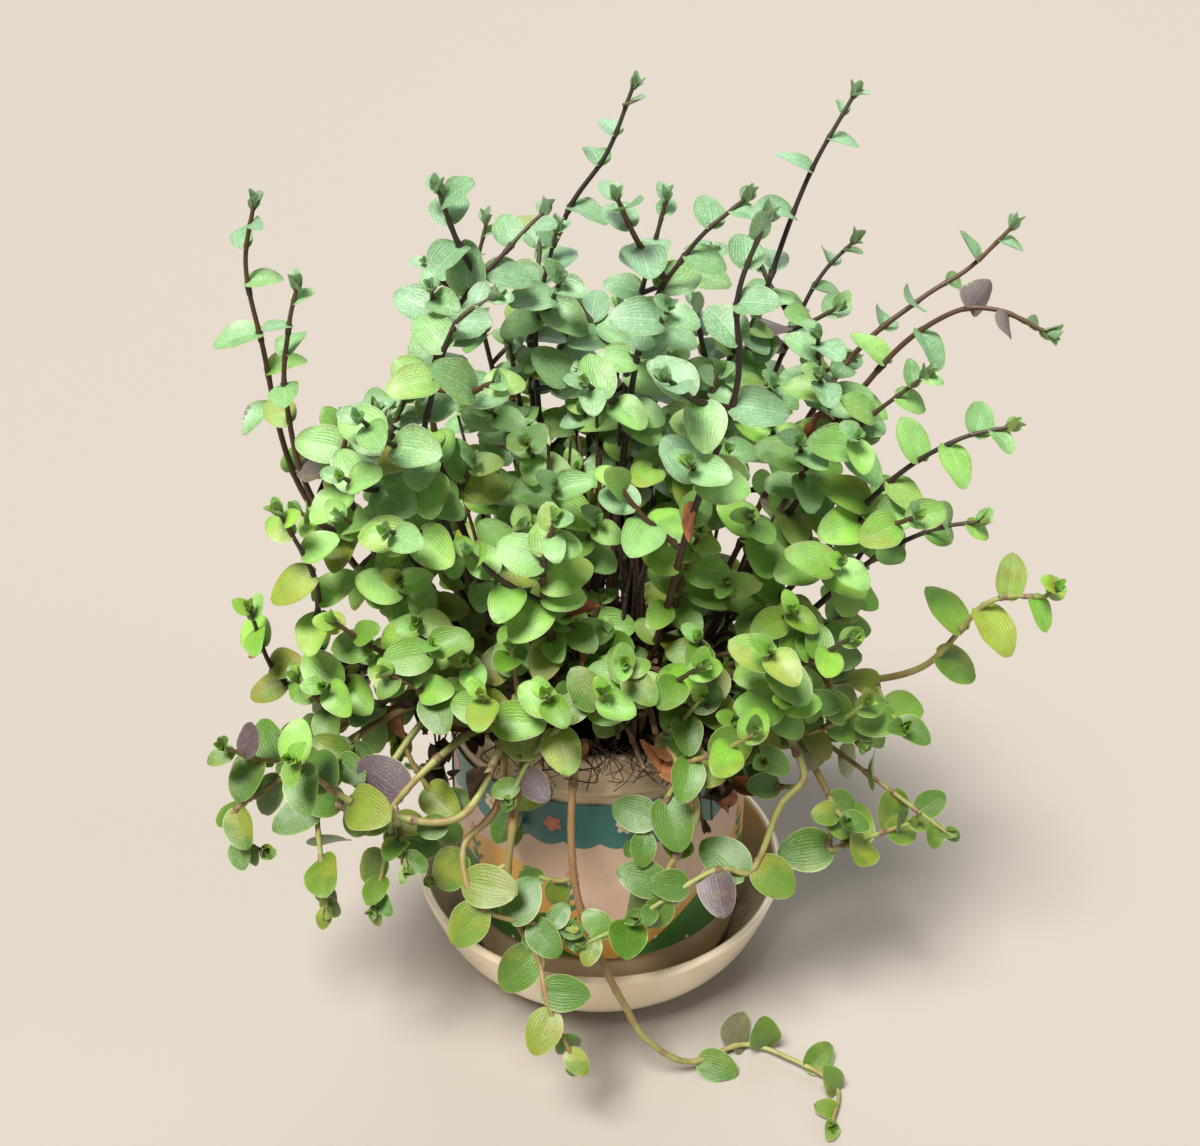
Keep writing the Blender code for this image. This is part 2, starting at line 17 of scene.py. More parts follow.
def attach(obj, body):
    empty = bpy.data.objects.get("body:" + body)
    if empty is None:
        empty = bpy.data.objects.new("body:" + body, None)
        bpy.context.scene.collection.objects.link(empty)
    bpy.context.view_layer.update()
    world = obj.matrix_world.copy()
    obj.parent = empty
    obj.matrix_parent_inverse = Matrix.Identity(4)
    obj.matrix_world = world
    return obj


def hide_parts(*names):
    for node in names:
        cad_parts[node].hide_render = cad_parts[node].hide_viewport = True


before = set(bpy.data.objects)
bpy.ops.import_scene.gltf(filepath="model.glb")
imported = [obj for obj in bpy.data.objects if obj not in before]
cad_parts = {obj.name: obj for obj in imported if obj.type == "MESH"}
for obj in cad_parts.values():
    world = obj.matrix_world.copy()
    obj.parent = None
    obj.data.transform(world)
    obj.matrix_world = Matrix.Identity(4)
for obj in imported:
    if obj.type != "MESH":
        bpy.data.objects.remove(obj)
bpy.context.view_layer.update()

MM = 0.001
SCENE = bpy.context.scene


def put(name, data):
    """A new object in the scene, with this data."""
    made = bpy.data.objects.new(name, data)
    SCENE.collection.objects.link(made)
    return made


# The camera stands in front of the plant and a little above it
CAMERA_PLACE = (0, -0.341, 0.323)
CAMERA_TILT = math.radians(63.4)
CAMERA_LENS = 34.5
CAMERA_SENSOR = 36
CAMERA_NEAR = 0.01


def make_camera():
    """The scene's camera, which looks down at the plant."""
    lens = bpy.data.cameras.new("camera")
    lens.sensor_width = CAMERA_SENSOR
    lens.lens = CAMERA_LENS
    lens.clip_start = CAMERA_NEAR
    camera = put("camera", lens)
    camera.location = CAMERA_PLACE
    camera.rotation_euler = (CAMERA_TILT, 0, 0)
    SCENE.camera = camera


make_camera()

# The holders
DISH_RADIUS = 67.5
DISH_HEIGHT = 38.0
DISH_FOOT_RADIUS = 40.0
DISH_FLOOR = 5.0
DISH_WALL = 3.0
POT_RADIUS = 51.5
POT_TOP = 116.0
POT_WALL = 1.4
POT_FLOOR = 2.0
RIM_RADIUS = 54.0
RIM_DEPTH = 6.0
LABEL_BOTTOM = 33.0
LABEL_TOP = 97.0
LABEL_THICKNESS = 0.6
FIT_GAP = 0.35
SOIL_EDGE = 106.0
SOIL_CROWN = 109.0
HOLE_DEPTH = 11.0
HOLE_GAP = 1.0

# The plant
SEED = 11
STEM_RADIUS = 1.15
STEM_COLLAR = 2.5
TIP_RADIUS = 0.6
TRAILING_RADIUS = 1.45
BEND_TOLERANCE = {"upright": 1.5, "slender": 1.5, "trailing": 1.0}
LEAF_LENGTH = {"upright": 14.0, "slender": 12.8, "trailing": 15.2}
LEAF_WIDTH_SHARE = {"upright": 0.86, "slender": 0.78, "trailing": 0.86}
LEAF_DROOP = 0.12
LEAF_KEEL = 0.75
LEAF_HEEL = 0.53
LEAF_OUTLINE = (0.12, 0.45, 0.8)
SMALL_LEAF = 13.7
SMALL_LEAF_OUTLINE = (0.22, 0.66)
LIGHT = Vector((0, -0.62, 0.78))
TURN_TO_LIGHT = 0.65
# At this distance from the axis as much light comes from outside as from the front
SIDE_LIGHT = 250
# How far a blade faces along its stem (1) rather than the light (0)
FACING = {"upright": 0.0, "slender": 0.28, "trailing": 0.0}
CLEARANCE = 0.45
# How far stems stay apart beyond their clearances. A blocked one is moved, farther at each try
STEM_GAP = 0.6
STEM_TRIES = 400
STEM_SWAY = 0.08

# Routes of the stems that give the plant its outline: where each leaves the soil, then the points
# that it passes, as (x, y, z). The last point is its tip.
Route = namedtuple("Route", "root points habit")
ROUTES = {
    "left_tall": Route((-34, 6), [(-68, 0, 138), (-94, -6, 185), (-99, -10, 233), (-100, -12, 255),
        (-95, -14, 272)], "slender"),
    "left_second": Route((-29, -4), [(-62, -12, 138), (-86, -20, 185), (-90, -24, 220),
        (-86, -27, 241), (-82, -28, 253)], "slender"),
    "left_curl": Route((-26, -13), [(-58, -26, 152), (-73, -31, 192), (-71, -36, 213),
        (-62, -39, 222)], "upright"),
    "left_green": Route((-20, -6), [(-43, -20, 140), (-57, -32, 178), (-58, -38, 212),
        (-53, -39, 225)], "upright"),
    "left_big": Route((-36, -11), [(-64, -24, 121), (-86, -31, 130), (-91, -36, 164),
        (-86, -40, 190)], "upright"),
    "left_low": Route((-40, 0), [(-64, -8, 121), (-94, -19, 115), (-107, -26, 130),
        (-110, -30, 152)], "upright"),
    "left_rosette": Route((-36, -19), [(-62, -29, 121), (-92, -37, 112), (-108, -45, 116),
        (-116, -53, 127)], "trailing"),
    "left_hang": Route((-30, -25), [(-58, -37, 121), (-92, -43, 110), (-107, -51, 98),
        (-114, -57, 88), (-109, -62, 80)], "trailing"),
    "left_dip": Route((-26, -30), [(-50, -44, 119), (-73, -53, 104), (-84, -60, 92),
        (-80, -65, 80)], "trailing"),
    "left_drop": Route((-21, -35), [(-40, -53, 118), (-59, -62, 105), (-69, -68, 92),
        (-68, -74, 78)], "trailing"),
    "runner": Route((-16, -37), [(-30, -57, 120), (-47, -67, 112), (-64, -75, 118), (-76, -82, 132),
        (-89, -88, 139)], "trailing"),
    "centre_tall": Route((-6, 15), [(-18, 18, 170), (-22, 20, 225), (-11, 22, 262), (2, 24, 281),
        (10, 26, 300)], "slender"),
    "centre_back": Route((-16, 27), [(-30, 37, 180), (-41, 44, 233), (-37, 45, 258)], "slender"),
    "arch_high": Route((-17, 3), [(-40, -12, 165), (-49, -20, 213), (-43, -16, 240), (-25, -6, 260),
        (-16, 0, 268)], "upright"),
    "arch_mid": Route((-9, 7), [(-17, 10, 175), (-20, 12, 228), (-13, 13, 261)], "upright"),
    "arch_low": Route((-14, -14), [(-36, -33, 158), (-48, -41, 206), (-45, -43, 228),
        (-38, -42, 246), (-28, -40, 253)], "upright"),
    "top_middle": Route((4, 3), [(6, 1, 178), (9, 0, 228), (19, 0, 272)], "upright"),
    "top_right": Route((1, -5), [(5, -8, 172), (12, -11, 234), (25, -14, 260),
        (40, -14, 274)], "upright"),
    "front_tall": Route((11, -20), [(20, -38, 160), (25, -46, 190), (35, -55, 232), (34, -57, 257),
        (40, -57, 276)], "upright"),
    "right_tall": Route((18, 9), [(40, 13, 198), (52, 15, 245), (62, 18, 275),
        (74, 20, 298)], "slender"),
    "right_back": Route((22, 23), [(50, 27, 190), (64, 30, 229), (72, 35, 243),
        (82, 38, 253)], "slender"),
    "right_long": Route((27, 4), [(57, 2, 188), (76, 0, 225), (95, 0, 243), (108, 0, 252),
        (119, 0, 264)], "slender"),
    "right_reach": Route((29, -5), [(60, -9, 186), (82, -13, 226), (97, -20, 243), (109, -25, 246),
        (122, -30, 241)], "slender"),
    "right_short": Route((23, -12), [(54, -18, 175), (73, -22, 208), (91, -28, 228)], "upright"),
    "right_spread": Route((28, -18), [(61, -28, 165), (82, -35, 198), (98, -40, 213),
        (112, -42, 218)], "upright"),
    "right_flat": Route((34, -13), [(62, -26, 148), (81, -33, 173), (95, -40, 186),
        (107, -45, 191)], "upright"),
    "right_low": Route((39, -8), [(60, -14, 120), (80, -20, 119), (97, -28, 137), (114, -35, 157),
        (127, -38, 167), (138, -40, 172)], "trailing"),
    "right_dip": Route((36, -20), [(54, -33, 120), (69, -44, 92), (72, -47, 77), (81, -52, 83),
        (94, -60, 97)], "trailing"),
    "right_drop": Route((39, -14), [(47, -17, 121), (60, -22, 119), (75, -31, 100), (84, -36, 91),
        (93, -38, 97)], "trailing"),
    "front_thick": Route((14, -36), [(21, -56, 121), (27, -63, 107), (21, -69, 86), (12, -75, 75),
        (-3, -81, 66)], "trailing"),
    "front_slant": Route((30, -28), [(47, -42, 121), (61, -51, 108), (56, -59, 96), (42, -67, 84),
        (30, -71, 80), (15, -75, 78)], "trailing"),
    "front_drop": Route((-9, -40), [(-21, -58, 120), (-27, -64, 104), (-25, -74, 79),
        (-20, -84, 60), (-15, -90, 50), (-10, -95, 34)], "trailing"),
    "table_run": Route((-1, -41), [(-6, -58, 121), (-9, -67, 101), (-7, -73, 76), (0, -76, 52),
        (9, -77, 35), (17, -76, 19), (28, -70, 6), (48, -61, 3), (64, -66, 3), (76, -79, 3),
        (73, -92, 3)], "trailing"),
    "front_cross": Route((-13, -32), [(-33, -52, 120), (-45, -60, 111), (-43, -64, 101),
        (-27, -71, 88), (-10, -78, 72)], "trailing"),
    "front_arc": Route((4, -31), [(0, -44, 129), (-10, -56, 131), (-20, -62, 123),
        (-26, -68, 113)], "trailing"),
    "left_fill": Route((-27, -19), [(-47, -36, 138), (-64, -47, 150), (-77, -52, 164)], "upright"),
    "left_front_fill": Route((-20, -27), [(-34, -46, 132), (-49, -58, 142),
        (-60, -63, 152)], "upright"),
    "right_fill": Route((26, -22), [(45, -40, 136), (60, -51, 148), (72, -56, 160)], "upright"),
    "front_rosette": Route((8, -28), [(7, -44, 130), (8, -58, 146), (7, -66, 157)], "upright"),
    "front_left_rosette": Route((-8, -26), [(-14, -44, 150), (-16, -56, 180),
        (-12, -61, 199)], "upright"),
    "top_fill": Route((9, 26), [(24, 24, 175), (37, 13, 213), (47, 4, 237)], "upright"),
}

# The stems inside the clump stand by a rule: a sunflower spiral over the soil, their tips on a dome
CROWN_COUNT = 16
CROWN_START = 0.9
GOLDEN_ANGLE = math.radians(137.508)
CROWN_ROOT_RADIUS = 38.0
CROWN_TIP_RADIUS = 92.0
CROWN_HEIGHT = 244.0
CROWN_FALL = 90.0
CROWN_BACK_SHARE = 0.55
CROWN_FRONT_DRAW_IN = 0.35

# Distance from the tip to each leaf, size of each leaf, and how far it leans off the stem in degrees
LEAF_STEPS = (0.5, 4.2, 9.8, 17.5, 26.5, 36.5, 47.5, 59, 71, 83, 95)
LEAF_SIZES = (0.42, 0.56, 0.76, 0.92, 1, 1, 1, 1, 0.96, 0.92, 0.88)
LEAF_LEANS = (28, 44, 60, 68, 72, 76, 78, 80, 84, 86, 88)
LEAF_COUNT = {"upright": 8, "slender": 8, "trailing": 7}
LEAF_TRIES = ((0, 0, 1.0), (18, 5, 1.0), (-18, -6, 1.0), (36, 8, 0.94), (-36, -10, 0.94),
              (60, 10, 0.88), (-60, 0, 0.88), (95, 4, 0.82), (-95, 12, 0.82), (140, 0, 0.76),
              (25, -22, 0.72), (-25, 24, 0.72))
LEAF_TURN = math.radians(204)
STEM_TURN = 1.7
BARE_FOOT = 30
# A blade that points at the light, with less than this of it across, faces along its stem
LEAST_NORMAL = 0.05
# The room that leaves of the solids leave round themselves: their outline's growth and a lift
SOLID_ROOM = (1.08, CLEARANCE)

Sprout = namedtuple("Sprout", "stem order line distance turn lean size cup habit")
Leaf = namedtuple("Leaf", "stem order base axis side normal length width cup")


def smooth_route(before, controls, step=2.0):
    """Points about step apart on a curve through the controls, leaving the first from before."""
    ends = [before, *controls, 2 * controls[-1] - controls[-2]]
    path = []
    for a, b, c, d in zip(ends, ends[1:], ends[2:], ends[3:]):
        count = max(2, round((c - b).length / step))
        for i in range(count):
            t = i / count
            path.append(0.5 * (2 * b + (c - a) * t + (2 * a - 5 * b + 4 * c - d) * t * t
                               + (3 * b - a - 3 * c + d) * t ** 3))
    return [*path, controls[-1]]


def soil_height(radius):
    """Height of the soil's surface at this distance from the pot's axis."""
    return SOIL_CROWN + (SOIL_EDGE - SOIL_CROWN) * (radius / (POT_RADIUS - POT_WALL)) ** 2


def stem_path(root, points):
    """A stem stands upright in its hole, then follows its route."""
    x, y = root
    top = soil_height(math.hypot(x, y))
    foot = Vector((x, y, top - HOLE_DEPTH + HOLE_GAP))
    collar = Vector((x, y, top + STEM_COLLAR))
    return [foot, *smooth_route(foot, [collar, *map(Vector, points)])]


def thin_path(path, tolerance):
    """The fewest of the path's points that stay within the tolerance of all of it."""
    if len(path) < 3:
        return list(path)
    start, end = path[0], path[-1]
    along = (end - start).normalized()
    away = [((p - start) - along * (p - start).dot(along)).length for p in path]
    worst = max(range(len(path)), key=away.__getitem__)
    if away[worst] < tolerance:
        return [start, end]
    return thin_path(path[:worst + 1], tolerance)[:-1] + thin_path(path[worst:], tolerance)


def stem_line(path, habit):
    """The bends of a stem: foot, collar at the soil, then the thinned path."""
    return [path[0], *thin_path(path[1:], BEND_TOLERANCE[habit])]


def crown_routes():
    """The rule's routes, named crown_01 onwards."""
    draw = random.Random(SEED)
    made = {}
    for i in range(CROWN_COUNT):
        angle = GOLDEN_ANGLE * i + CROWN_START
        angle += CROWN_BACK_SHARE * math.cos(angle)
        share = math.sqrt((i + 0.7) / CROWN_COUNT)
        across, front = math.cos(angle), math.sin(angle)
        root_radius = CROWN_ROOT_RADIUS * share
        tip_radius = CROWN_TIP_RADIUS * share * draw.uniform(0.88, 1.1)
        tip_radius *= 1 - CROWN_FRONT_DRAW_IN * max(0, -front)
        tip_height = CROWN_HEIGHT - CROWN_FALL * share ** 1.5 + draw.uniform(-9, 9)
        base = soil_height(root_radius)
        points = [(across * (root_radius + (tip_radius - root_radius) * reach),
                   front * (root_radius + (tip_radius - root_radius) * reach),
                   base + (tip_height - base) * rise)
                  for reach, rise in ((0.3, 0.4), (0.68, 0.75), (1.0, 1.0))]
        root = (across * root_radius, front * root_radius)
        made[f"crown_{i + 1:02d}"] = Route(root, points, "upright")
    return made


def blocked(point, radius):
    """True where a stem of this radius would touch the bowl, the pot, the soil or the table."""
    across = math.hypot(point.x, point.y)
    gap = radius + CLEARANCE
    if point.z < gap:
        return True
    if across < POT_RADIUS - POT_WALL - gap:
        return point.z < soil_height(across)
    in_dish = across < DISH_RADIUS + gap and point.z < DISH_HEIGHT + gap
    in_pot = across < POT_RADIUS + LABEL_THICKNESS + FIT_GAP + gap and point.z < POT_TOP
    in_rim = across < RIM_RADIUS + gap and POT_TOP - RIM_DEPTH - gap < point.z < POT_TOP + gap
    return in_dish or in_rim or in_pot


def even_points(line, step=2.0):
    """Points about step apart on a bent line."""
    made = [line[0]]
    for a, b in zip(line, line[1:]):
        count = max(1, round((b - a).length / step))
        made += [a.lerp(b, (i + 1) / count) for i in range(count)]
    return made


def line_length(line):
    """The length of a bent line."""
    return sum((b - a).length for a, b in zip(line, line[1:]))


def gap_between(mine, theirs):
    """The smallest distance between two arrays of points."""
    return np.linalg.norm(mine[:, None] - theirs[None], axis=2).min()


def clear_of(points, radius, others):
    """True if a stem's points keep off the holders and every stem already laid."""
    if any(blocked(p, radius) for p in points[1:]):
        return False
    mine = np.array(points)
    return all(gap_between(mine, theirs) >= radius + their_radius + 2 * CLEARANCE + STEM_GAP
               for theirs, their_radius in others)


def lay_stems():
    """Every stem's smooth path, each bent a little where it would cross one laid before."""
    paths, laid = {}, []
    for index, (name, route) in enumerate({**ROUTES, **crown_routes()}.items()):
        radius = TRAILING_RADIUS if route.habit == "trailing" else STEM_RADIUS
        draw = random.Random(SEED * 1000 + index)
        for attempt in range(STEM_TRIES):
            sway = STEM_SWAY * attempt
            moved = [Vector(p) + Vector([draw.uniform(-sway, sway) for _ in range(3)])
                     for p in route.points]
            root = [c + draw.uniform(-sway, sway) * 0.4 for c in route.root]
            path = stem_path(root, moved)
            points = path + even_points(stem_line(path, route.habit)[1:])
            if clear_of(points, radius, laid):
                break
        else:
            print("no clear way for", name)
            continue
        paths[name] = (path, route.habit)
        laid.append((np.array(points), radius))
    return paths


def stem_radius(habit, share):
    """The stem's radius at this share of its length; it thins towards the tip."""
    full = TRAILING_RADIUS if habit == "trailing" else STEM_RADIUS
    return full + (TIP_RADIUS - full) * max(0.0, (share - 0.35) / 0.65) ** 1.5


def across_share(along):
    """Half width of the leaf's outline at this share of its length, as a share of the widest."""
    return math.sin(math.pi * min(1.0, along) ** 0.72) ** 0.62 if 0 < along < 1 else 0.0


def leaf_point(leaf, along, across, lift):
    """A point of the leaf's middle surface: cupped across, and curling down towards its tip."""
    y = across * leaf.width / 2 * across_share(along)
    z = leaf.cup * y * y / leaf.width - LEAF_DROOP * leaf.length * along ** 2 + lift
    return leaf.base + leaf.axis * (along * leaf.length) + leaf.side * y + leaf.normal * z


def leaf_shape(leaf, swell, lift):
    """Vertices and faces of a plump blade, whose pointed heel sinks into the stem."""
    verts = [leaf.base - leaf.axis * LEAF_HEEL]
    for along in SMALL_LEAF_OUTLINE if leaf.length < SMALL_LEAF else LEAF_OUTLINE:
        verts += [leaf_point(leaf, along, -swell, lift), leaf_point(leaf, along, swell, lift)]
    verts.append(leaf_point(leaf, swell, 0, lift))
    keel = len(verts)
    tip = keel - 1
    verts.append(leaf_point(leaf, 0.45, 0, -LEAF_KEEL - lift))
    right, left = list(range(1, tip, 2)), list(range(2, tip, 2))
    faces = [(0, right[0], left[0]), (left[-1], right[-1], tip)]
    faces += [(a, b, d, c) for a, b, c, d in zip(right, right[1:], left, left[1:])]
    rim = [0, *left, tip, *reversed(right)]
    faces += [(keel, a, b) for a, b in zip(rim, rim[1:] + rim[:1])]
    return verts, faces


def along_line(line, distance):
    """The point this far back from the tip of a bent line, and the line's direction there."""
    for index in range(len(line) - 1, 0, -1):
        part = line[index] - line[index - 1]
        if distance <= part.length or index == 1:
            return line[index] - part.normalized() * distance, part.normalized()
        distance -= part.length


def leaf_frame(line, distance, turn, lean, facing):
    """Where a leaf joins the stem, and its axis, side and face directions."""
    base, along = along_line(line, distance)
    start = along.cross(Vector((0.35, 0.2, 1)) if abs(along.z) < 0.9 else Vector((1, 0, 0)))
    start.normalize()
    lateral = start * math.cos(turn) + along.cross(start) * math.sin(turn)
    axis = lateral * math.sin(lean) + along * math.cos(lean)
    light = (LIGHT + Vector((base.x, base.y, 0)) / SIDE_LIGHT).normalized()
    light = light.lerp(along, facing).normalized()
    axis = (axis - light * axis.dot(light) * TURN_TO_LIGHT).normalized()
    normal = light - axis * light.dot(axis)
    if normal.length < LEAST_NORMAL:
        normal = along - axis * along.dot(axis)
    normal.normalize()
    return base, axis, normal.cross(axis), normal


def tube_shape(path, radius):
    """A coarse square tube round a path, to test leaves against."""
    verts, faces = [], []
    for i, point in enumerate(path):
        along = (path[min(i + 1, len(path) - 1)] - path[max(i - 1, 0)]).normalized()
        a = along.orthogonal().normalized() * radius
        b = along.cross(a)
        verts += [point + a, point + b, point - a, point - b]
        if i:
            n = 4 * i
            faces += [(n + j - 4, n + (j + 1) % 4 - 4, n + (j + 1) % 4, n + j) for j in range(4)]
    return verts, faces


def leaf_fits(leaf, tree, verts, leaves, tubes):
    """True if a swollen copy of the leaf meets no holder, no other stem and no other leaf."""
    if any(blocked(v, 0.3) or v.z < soil_height(math.hypot(v.x, v.y)) + 1
           and math.hypot(v.x, v.y) < POT_RADIUS for v in verts[2:]):
        return False
    middle = leaf.base + leaf.axis * leaf.length / 2
    for name, tube in tubes.items():
        if name != leaf.stem and tube.overlap(tree):
            return False
    for other, other_tree in leaves:
        reach = (leaf.length + other.length) / 2 + 3
        apart = middle - (other.base + other.axis * other.length / 2)
        if apart.length < reach and other_tree.overlap(tree):
            return False
    return True


def grow_leaf(sprout, tries, room, grown, tubes, allowed=lambda leaf: True):
    """Adds the leaf to those grown, turned or made smaller until it is clear, or leaves it out."""
    for add_turn, add_lean, scale in tries:
        found = leaf_frame(sprout.line, sprout.distance, sprout.turn + math.radians(add_turn),
                           math.radians(sprout.lean + add_lean), FACING[sprout.habit])
        size = sprout.size * scale
        leaf = Leaf(sprout.stem, sprout.order, *found, size, size * LEAF_WIDTH_SHARE[sprout.habit],
                    sprout.cup)
        verts, faces = leaf_shape(leaf, *room)
        tree = BVHTree.FromPolygons(verts, faces)
        if allowed(leaf) and leaf_fits(leaf, tree, verts, grown, tubes):
            grown.append((leaf, tree))
            break


def leaf_spread(length):
    """Leaves stand farther apart on long stems."""
    return min(1.5, max(0.85, length / 150))


def grow_leaves(paths):
    """Leaves up every stem, tips first, as the solids have them."""
    tubes = {}
    for name, (path, habit) in paths.items():
        reach = stem_radius(habit, 0) + 2 * CLEARANCE
        tubes[name] = BVHTree.FromPolygons(*tube_shape(stem_line(path, habit), reach))
    grown = []
    for order, distance in enumerate(LEAF_STEPS):
        for index, (name, (path, habit)) in enumerate(paths.items()):
            draw = random.Random(SEED * 7919 + index * 101 + order)
            line = stem_line(path, habit)
            length = line_length(line)
            spread = leaf_spread(length) * draw.uniform(0.92, 1.08)
            if order >= LEAF_COUNT[habit] or distance * spread > length - BARE_FOOT:
                continue
            turn = LEAF_TURN * order + index * STEM_TURN + draw.uniform(-0.3, 0.3)
            lean = LEAF_LEANS[order] + draw.uniform(-8, 8)
            size = LEAF_LENGTH[habit] * LEAF_SIZES[order] * draw.uniform(0.88, 1.08)
            sprout = Sprout(name, order, line, distance * spread, turn, lean, size,
                            draw.uniform(0.25, 0.75), habit)
            grow_leaf(sprout, LEAF_TRIES, SOLID_ROOM, grown, tubes)
    return [leaf for leaf, _ in grown]


# What the render adds to the plant: side shoots, and leaves between the main ones
SHOOT_RADIUS = 0.9
# Distances of side shoots from the tip, then on trailing stems from the foot. The last one hangs
SHOOT_PLACES = (30, 50, 72, 96)
TRAILING_SHOOT_PLACES = (30, 46, 74)
HANGING_NUMBER = 6
HANGING_LOW = 62
SHOOT_FOOT = 26
SHOOT_TRIES = 26
SHOOT_LENGTH = (16, 30)
SHOOT_ROOM = 8.4
SHOOT_LOW, SHOOT_HIGH, SHOOT_WIDE = 113, 258, 92
BETWEEN_LOW, BETWEEN_HIGH, BETWEEN_WIDE = 112, 252, 84
CLUMP_TOP, CLUMP_FALL = 270, 66
CORE_WIDE, CORE_DEPTH = 0.34, 108
SHOOT_STEPS = (0.5, 4.0, 9.5, 16.5, 25)
SHOOT_SIZES = (0.5, 0.78, 0.98, 1.04, 1)
SHOOT_LEANS = (30, 48, 62, 70, 76)
BETWEEN_STEPS = (7.5, 14.7, 24, 34.5, 46, 58, 71, 84, 97, 110, 123)
BETWEEN_LEAN = 70
BETWEEN_SIZES = (0.66, 0.84, 0.95, 1, 1, 0.98, 0.94, 0.9, 0.85, 0.8, 0.78)
FINE_TRIES = LEAF_TRIES + ((160, 10, 0.76), (200, -8, 0.7), (75, 26, 0.66), (-75, -24, 0.66))
HANGING_SIZE = 0.72
FINE_CLEARANCE = 0.12
FINE_ROOM = (1.0, FINE_CLEARANCE)
BARE_SHOOT_FOOT, BARE_FINE_FOOT = 3, 14


def in_clump(place, wide):
    """True in the leafy shell of the dense dome; its dark middle has bare stems only."""
    across = math.hypot(place.x, place.y) / wide
    top = CLUMP_TOP - CLUMP_FALL * across ** 2
    return across < 1 and place.z < top and (across > CORE_WIDE or place.z > top - CORE_DEPTH)


def over_front_rim(place):
    """True just above the front of the rim, where the old growth shows between the stems."""
    return place.y < -30 and -72 < place.x < 24 and 106 < place.z < 137


def grow_shoots(paths):
    """Short side shoots, each from a stem towards the roomiest place that faces the light."""
    laid = [np.array(path) for path, _ in paths.values()]
    shoots = {}
    for index, (name, (path, habit)) in enumerate(paths.items()):
        draw = random.Random(SEED * 31 + index)
        length = line_length(path)
        trails = habit == "trailing"
        places = [*SHOOT_PLACES, *[length - d for d in TRAILING_SHOOT_PLACES if trails]]
        for number, distance in enumerate(places):
            distance += draw.uniform(-3, 3)
            if distance > length - SHOOT_FOOT:
                continue
            base, along = along_line(path, distance)
            hangs = number == HANGING_NUMBER
            low = HANGING_LOW if hangs else SHOOT_LOW
            if not low < base.z < SHOOT_HIGH or not in_clump(base, SHOOT_WIDE):
                continue
            best, best_room = None, SHOOT_ROOM
            for _ in range(SHOOT_TRIES):
                side = Vector([draw.gauss(0, 1) for _ in range(3)])
                side -= along * side.dot(along)
                heading = side.normalized() + along * draw.uniform(0.2, 0.9)
                droops = hangs or trails and number % 2 and base.x > 12
                pull = Vector((0, -0.3, -0.8)) if droops else LIGHT
                heading = (heading.normalized() + pull * draw.uniform(0.1, 0.6)).normalized()
                reach = draw.uniform(*SHOOT_LENGTH) * (0.8 if hangs else 1)
                bend = base + heading * reach * 0.5
                tip = bend + (heading + Vector((0, 0, 0.35))).normalized() * reach * 0.5
                shoot = [base, *smooth_route(base - along * 4, [base, bend, tip])[3:]]
                outer = [p for p in shoot if (p - base).length > reach * 0.45]
                if any(blocked(p, 2.0) or over_front_rim(p) for p in outer):
                    continue
                outer = np.array(outer)
                room = min(gap_between(outer, other) for other in laid)
                if room > best_room:
                    best, best_room = shoot, room
            if best:
                shoots[f"{name}/{number}"] = (best, habit)
                laid.append(np.array(best[len(best) // 3:]))
    return shoots


def fine_leaves(paths, shoots, leaves):
    """Every leaf of the solids, and the ones between and on the side shoots that find room."""
    tubes = {}
    for name, (path, habit) in paths.items():
        tubes[name] = BVHTree.FromPolygons(*tube_shape(path[::2], stem_radius(habit, 0) + 0.2))
    for name, (path, _) in shoots.items():
        tubes[name] = BVHTree.FromPolygons(*tube_shape(path[2:], SHOOT_RADIUS + 0.1))
    grown = [(leaf, BVHTree.FromPolygons(*leaf_shape(leaf, *FINE_ROOM))) for leaf in leaves]
    rows = []
    for name, (path, _) in shoots.items():
        rows += [(name, path, order, distance, SHOOT_SIZES[order], SHOOT_LEANS[order], "upright")
                 for order, distance in enumerate(SHOOT_STEPS)]
    for name, (path, habit) in paths.items():
        line = stem_line(path, habit)
        spread = leaf_spread(line_length(line))
        rows += [(name, line, order, distance * spread, BETWEEN_SIZES[order], BETWEEN_LEAN, habit)
                 for order, distance in enumerate(BETWEEN_STEPS)]
    rows.sort(key=lambda row: row[3])
    for index, (name, line, order, distance, size, lean, habit) in enumerate(rows):
        draw = random.Random(SEED * 5003 + index)
        on_shoot = name in shoots
        if distance > line_length(line) - (BARE_SHOOT_FOOT if on_shoot else BARE_FINE_FOOT):
            continue
        place, _ = along_line(line, distance)
        between = BETWEEN_LOW < place.z < BETWEEN_HIGH and in_clump(place, BETWEEN_WIDE)
        if not on_shoot and not between:
            continue
        turn = LEAF_TURN * order + STEM_TURN + index * 0.9
        if on_shoot:
            turn = math.pi * order + draw.gauss(0, 0.4)
        size *= LEAF_LENGTH[habit] * draw.uniform(0.85, 1.05)
        size *= HANGING_SIZE if name.endswith(f"/{HANGING_NUMBER}") else 1
        sprout = Sprout(name, order, line, distance, turn, lean, size, draw.uniform(0.4, 1.1), habit)
        grow_leaf(sprout, FINE_TRIES, FINE_ROOM, grown, tubes,
                  lambda leaf: not over_front_rim(leaf.base + leaf.axis * leaf.length * 0.6))
    return [leaf for leaf, _ in grown]


# Mesh making

